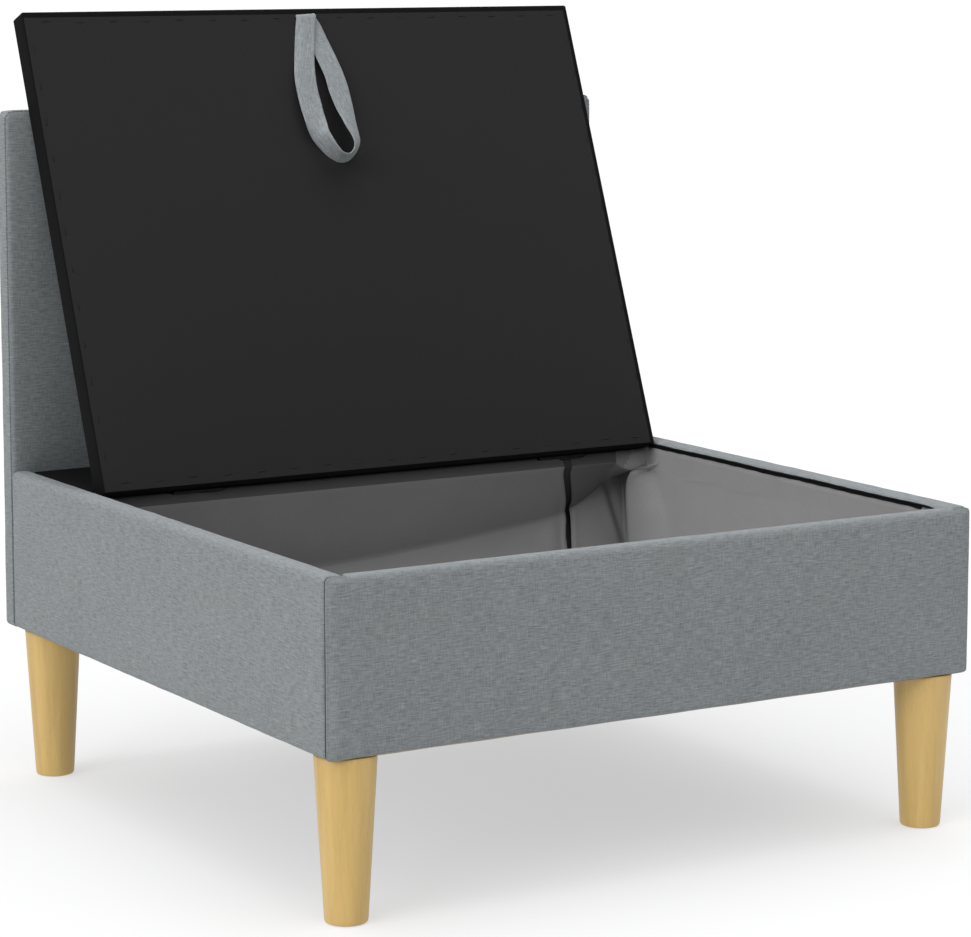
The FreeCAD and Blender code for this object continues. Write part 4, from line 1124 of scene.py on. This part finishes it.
        # beside the pleat: rolled lips and a bulge to its left, low down; a crease runs down to the corner
        dl, dr = el - x, x - er
        side_l, side_r = (dl > -0.01), (dr > -0.01)
        slope = np.clip((z - zb * 0 - np.interp(x, FOLD_X, FOLD_Z)) / 30.0, 0, 1)
        free = is_back * np.clip((311.0 - z) / 12.0, 0, 1)
        lip = 1.9 * bell(dl - 5.5, 3.2) * side_l + 0.5 * bell(dr - 5.0, 3.0) * side_r
        lip = lip - 3.0 * bell(dl, 1.6) * side_l - 2.6 * bell(dr, 1.6) * side_r
        bulge = 4.2 * bell(x - (el - 22.0), 15.0) * bell(z - 222.0, 24.0)
        cz = np.interp(z, [183, 210, 253, 280, 300], [724.0, 721.7, 708.8, 700.3, 694.0])
        crease = 3.6 * bell(x - cz, 4.2) * np.clip((292.0 - z) / 25.0, 0, 1) * hang
        ridge = 1.6 * bell(x - cz + 10.0, 6.0) * np.clip((285.0 - z) / 25.0, 0, 1) * hang
        push = push + free * (lip + bulge + ridge - crease) * (1 - 0.4 * slope)
        pts[i, :, 0] += inward[:, 0] * push
        pts[i, :, 1] += inward[:, 1] * push
    # keep inside the boards, under the deck board, in front of its edge and below the hinge knuckles
    pts[..., 0] = np.clip(pts[..., 0], 24.4, 725.6)
    pts[..., 1] = np.clip(pts[..., 1], 20.4, 621.0)
    high = pts[..., 2] > 313.35
    pts[..., 1] = np.where(high & (pts[..., 1] > 557.15), 557.15, pts[..., 1])
    knuckle = np.minimum(np.abs(pts[..., 0] - 145.0), np.abs(pts[..., 0] - 605.0)) < 32.0
    pts[..., 2] = np.where(knuckle & (pts[..., 1] > 552.0), np.minimum(pts[..., 2], 322.4), pts[..., 2])
    verts = [tuple(q) for q in pts.reshape(-1, 3)]
    faces, uvs, where = [], [], []

    def add(ids, uv):
        faces.append(ids)
        uvs.extend(uv)

    seg = np.concatenate([[0], np.cumsum(np.linalg.norm(np.diff(profs[:, :, :], axis=1), axis=2).mean(axis=0))])
    per = np.concatenate([arc_pos, [arc_pos[-1] + np.hypot(*(plan[0, :2] - plan[-1, :2]))]])
    for i in range(rows - 1):
        for j in range(n):
            if j == gap and i >= 3:
                continue
            k = (j + 1) % n
            where.append((i, j))
            add([i * n + j, i * n + k, (i + 1) * n + k, (i + 1) * n + j],
                [(per[j] / 1000, seg[i] / 1000), (per[j + 1] / 1000, seg[i] / 1000), (per[j + 1] / 1000, seg[i + 1] / 1000), (per[j] / 1000, seg[i + 1] / 1000)])
    # the bottom, in rings towards the middle, with low wrinkles
    centre = np.array([375.0, 310.0])
    ring0 = pts[0, :, :2]
    prev = list(range(n))
    shrink = [0.965, 0.93, 0.88, 0.82, 0.75, 0.67, 0.58, 0.48, 0.37, 0.25, 0.12]
    for f in shrink:
        ids = []
        q = centre + (ring0 - centre) * f
        z = 183.1 + 0.5 * (1 + smooth_noise(np.column_stack([q, np.zeros(n)]), 120.0, 21)) * min(1.0, (1 - f) * 10)
        for j in range(n):
            ids.append(len(verts))
            verts.append((q[j, 0], q[j, 1], z[j]))
        for j in range(n):
            k = (j + 1) % n
            quad = [ids[j], ids[k], prev[k], prev[j]]
            add(quad, [(verts[a][0] / 1000, verts[a][1] / 1000 + 2.0) for a in quad])
        prev = ids
    c = len(verts)
    verts.append((centre[0], centre[1], 183.6))
    for j in range(n):
        k = (j + 1) % n
        tri = [c, prev[k], prev[j]]
        add(tri, [(verts[a][0] / 1000, verts[a][1] / 1000 + 2.0) for a in tri])
    # inside of the bag faces the viewer
    faces = [f[::-1] for f in faces]
    fixed, k = [], 0
    for f in faces:
        fixed += uvs[k:k + len(f)][::-1]
        k += len(f)
    o = make("liner_bag", P(np.array(verts)), faces, fixed, BAG)
    o.data.materials.append(BAG_TOP_SHADE)
    o.data.materials.append(BAG_TOP_CORNER_SHADE)
    o.data.materials.append(FLAP_CORNER_SHADE)
    o.data.materials.append(BAG_TOP_RIGHT_SHADE)
    # painted shade: on the back, the flap right of the pleat and the top strip under the deck edge take the darker
    # copies of the bag cloth
    first = 3 + N_WALL + N_SLOPE - 1
    mats = np.zeros(len(faces), int)
    for q, (i, j) in enumerate(where):
        if 3 + N_WALL - 1 <= i < first and is_back[j] > 0.5 and 641.0 < plan[j, 0] < 712.0:
            mats[q] = 3
        if i >= first and is_back[j] > 0.5 and 641.0 < plan[j, 0] < 687.0:
            mats[q] = 4
        elif i >= first and is_back[j] > 0.5 and 30.0 < plan[j, 0]:
            turn = float(np.interp(pts[i, j, 2], [301.0, 314.0, 322.0, 327.0], [695.0, 700.0, 704.0, 709.0]))
            mats[q] = 1 if plan[j, 0] < 687.0 else 2 if plan[j, 0] < turn else 0
    o.data.polygons.foreach_set("material_index", mats.tolist())
    return o


bag = liner_mesh()
solid(bag, 0.0007, offset=-1.0)


def pleat_mesh():
    """The cloth behind the open pleat, its dark colour painted shade of the pleat's depth."""
    verts, faces, uvs = [], [], []
    prof = back_profile(638.0)
    cols = 7
    keep = [i for i in range(3, len(prof))]
    for i in keep:
        y, z = prof[i]
        el, er = float(np.interp(z, PLEAT_Z, PLEAT_L)), float(np.interp(z, PLEAT_Z, PLEAT_R))
        off = float(np.interp(z, [186, 240, 275, 295, 309, 313.2, 313.4, 326], [7.0, 9.0, 8.0, 5.0, 1.6, 0.75, 0.62, 0.62]))
        z = min(z, 322.0)
        for c in range(cols):
            x = el - 7.0 + (er - el + 14.0) * c / (cols - 1)
            verts.append((x, y + off, z))
            uvs.append((x / 1000, z / 1000))
    rows = len(keep)
    fuv = []
    for i in range(rows - 1):
        for c in range(cols - 1):
            ids = [i * cols + c, i * cols + c + 1, (i + 1) * cols + c + 1, (i + 1) * cols + c]
            faces.append(ids)
            fuv += [uvs[q] for q in ids]
    return make("liner_pleat_backing", P(np.array(verts)), faces, fuv, PLEAT_SHADE)


pleat = pleat_mesh()
solid(pleat, 0.00025, offset=0.0)


def tube_strip(name, path, outs, section, mat, body="base", closed_ends=True, ups=None):
    """A strip that follows path, its section given as (out, up) in mm, out along outs."""
    path, outs = np.asarray(path, float), np.asarray(outs, float)
    up = np.array([0, 0, 1.0])
    m_ = len(section)
    run = np.concatenate([[0], np.cumsum(np.linalg.norm(np.diff(path, axis=0), axis=1))])
    sec_run = np.concatenate([[0], np.cumsum(np.linalg.norm(np.diff(np.vstack([section, section[:1]]), axis=0), axis=1))])
    verts, faces, uvs = [], [], []
    for k, (p, o_) in enumerate(zip(path, outs)):
        f = 1.0 if ups is None else ups[k]
        for a, b in section:
            verts.append(p + o_ * a * f + up * b * f)
    for k in range(len(path) - 1):
        for j in range(m_):
            ids = [k * m_ + j, (k + 1) * m_ + j, (k + 1) * m_ + (j + 1) % m_, k * m_ + (j + 1) % m_]
            faces.append(ids)
            uvs += [(run[k] / 1000, sec_run[j] / 1000), (run[k + 1] / 1000, sec_run[j] / 1000), (run[k + 1] / 1000, sec_run[j + 1] / 1000), (run[k] / 1000, sec_run[j + 1] / 1000)]
    for k, rev in ((0, False), (len(path) - 1, True)):
        ids = [k * m_ + j for j in range(m_)]
        faces.append(ids[::-1] if rev else ids)
        uvs += [(0, 0)] * m_
    return make(name, P(np.array(verts)), faces, uvs, mat, body)


# the tape along the liner's top hem: two rolled ridges, one above the other
def ridge_section(cz, r, sag=0.0):
    out = [(1.15 + r * math.cos(a), cz + 1.05 * r * math.sin(a) - sag) for a in np.linspace(math.radians(-115), math.radians(115), 10)]
    return np.array(out + [(0.1, cz + 0.6), (0.1, cz - 0.6)])


def tape_runs():
    """The hem's three straight runs: left, front and right, each as (path, out)."""
    ys = np.linspace(555, 22.5, 70)
    left_ = [(23.9, y, 327.3 + 0.25 * math.sin(y / 31)) for y in ys]
    front_ = [(x, 20.2, 328.3 + 0.2 * math.sin(x / 27)) for x in np.linspace(26, 724, 80)]
    right_ = [(726.1 + 0.15 * math.sin(y / 17), y, 330.4 + 0.25 * math.sin(y / 29)) for y in ys]
    return (("left", left_, (1, 0, 0)), ("front", front_, (0, 1, 0)), ("right", right_, (-1, 0, 0)))


tapes = []
for where, path_, out_ in tape_runs():
    for which, cz, r_ in (("upper", 1.15, 1.25), ("lower", -1.35, 1.15)):
        grow = [1.0 + 0.06 * math.sin(k * 1.7) + 0.04 * math.sin(k * 0.61) for k in range(len(path_))]
        if where == "right":  # the two ridges end one behind the other, short of the corner
            stop = 31.5 if which == "upper" else 43.0
            path_ = [(p[0], stop + (p[1] - 22.5) * (555.0 - stop) / 532.5, p[2]) for p in path_]
            grow = [g * min(1.0, 0.35 + (len(grow) - 1 - k) * 0.45) if which == "upper" else g * (1.0 + 0.25 * (k >= len(grow) - 2)) for k, g in enumerate(grow)]
        tapes.append(tube_strip("liner_hem_%s_%s" % (where, which), path_, [out_] * len(path_), ridge_section(cz, r_), TAPE, ups=grow))

# ------------------------------------------------------------------------- legs
GLIDE_HOLE = 17.2
LEG_AT = {"front_left": (35.5, 32.0), "front_right": (714.5, 32.0), "back_left": (35.5, 697.0), "back_right": (714.5, 697.0)}


def leg_mesh(name, cx, cy, seed):
    prof = [(0.0, 2.05), (GLIDE_HOLE, 2.05), (GLIDE_HOLE + 0.3, 0.7), (18.6, 0.45), (19.8, 0.9), (20.5, 2.0), (20.75, 3.6), (20.95, 5.4)]
    prof += [(20.8 + (30.2 - 20.8) * (z - 2) / 160.0, z) for z in np.linspace(9, 158, 16)]
    prof += [(30.15, 160.6), (29.8, 161.5), (29.0, 162.0), (0.0, 162.0)]
    n = 72
    verts, faces, uvs = [], [], []
    for r, z in prof:
        for j in range(n):
            a = 2 * math.pi * j / n
            verts.append((cx + r * math.cos(a), cy + r * math.sin(a), z))
    for i in range(len(prof) - 1):
        for j in range(n):
            k = (j + 1) % n
            ids = [i * n + j, i * n + k, (i + 1) * n + k, (i + 1) * n + j]
            faces.append(ids)
            uvs += [(j / n * 0.16, prof[i][1] / 1000), ((j + 1) / n * 0.16, prof[i][1] / 1000),
                    ((j + 1) / n * 0.16, prof[i + 1][1] / 1000), (j / n * 0.16, prof[i + 1][1] / 1000)]
    o = make(name, P(np.array(verts)), faces, uvs, BEECH)
    import bmesh

    bm = bmesh.new()
    bm.from_mesh(o.data)
    bmesh.ops.remove_doubles(bm, verts=bm.verts, dist=1e-6)
    bmesh.ops.recalc_face_normals(bm, faces=bm.faces)
    bm.to_mesh(o.data)
    bm.free()
    o.data.polygons.foreach_set("use_smooth", [True] * len(o.data.polygons))
    return o


legs = {}
for i, (key, (cx, cy)) in enumerate(LEG_AT.items()):
    legs[key] = leg_mesh("turned_leg_" + key, cx, cy, i)

# ------------------------------------------------------------------- dust cover
dx = np.linspace(11.0, 739.0, 92)
dy = np.linspace(7.0, 715.5, 90)


def dust_height(x, y):
    e = np.minimum(np.minimum(x - 11, 739 - x), np.minimum(y - 7, 715.5 - y))
    sag = -0.9 * np.clip(e / 80.0, 0, 1) ** 1.5
    pts = np.stack([x, y, np.zeros_like(x)], -1)
    return 162.25 + sag * (0.6 + 0.4 * smooth_noise(pts.reshape(-1, 3), 260.0, 31).reshape(x.shape)) + 0.12 * np.sin((x + y) / 16.0) * np.exp(-e / 12.0)


dust = grid_sheet("dust_cover_sheet", dx, dy, lambda x, y: dust_height(x, y), DUST, "base", lambda p: p, shift=(0, 0))
solid(dust, 0.0006, offset=0.0)

# ------------------------------------------------------------------ what is what
for o in (front, left, right, back, deck, lid_skin, lining, staples, bag, pleat, *tapes, dust, stitches, *seam_shade_strips, *legs.values()):
    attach(o, o["body"])
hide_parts("front_rail_cover", "front_rail_foam")
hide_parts("left_rail_cover", "left_rail_foam")
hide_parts("right_rail_cover", "right_rail_foam")
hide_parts("backrest_cover", "backrest_foam")
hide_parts("deck_cover", "deck_pad")
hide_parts("lid_cover", "lid_pad")
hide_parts("lid_lining")
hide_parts("lid_staples")
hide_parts("pull_strap", "strap_tail")
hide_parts("liner_back", "liner_bottom", "liner_flap", "liner_front", "liner_left", "liner_right")
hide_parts("liner_tape")
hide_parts("dust_cover")
for key, o in legs.items():
    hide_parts("leg_" + key)
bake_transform(strap)

# ------------------------------------------------------------------------ floor
floor_me = bpy.data.meshes.new("floor")
F = 60.0
floor_me.from_pydata([(-F, -F, 0), (F, -F, 0), (F, F, 0), (-F, F, 0)], [], [(0, 1, 2, 3)])
floor_me.materials.append(floor_paint())
floor = bpy.data.objects.new("floor", floor_me)
scene.collection.objects.link(floor)

bpy.context.view_layer.update()
import json
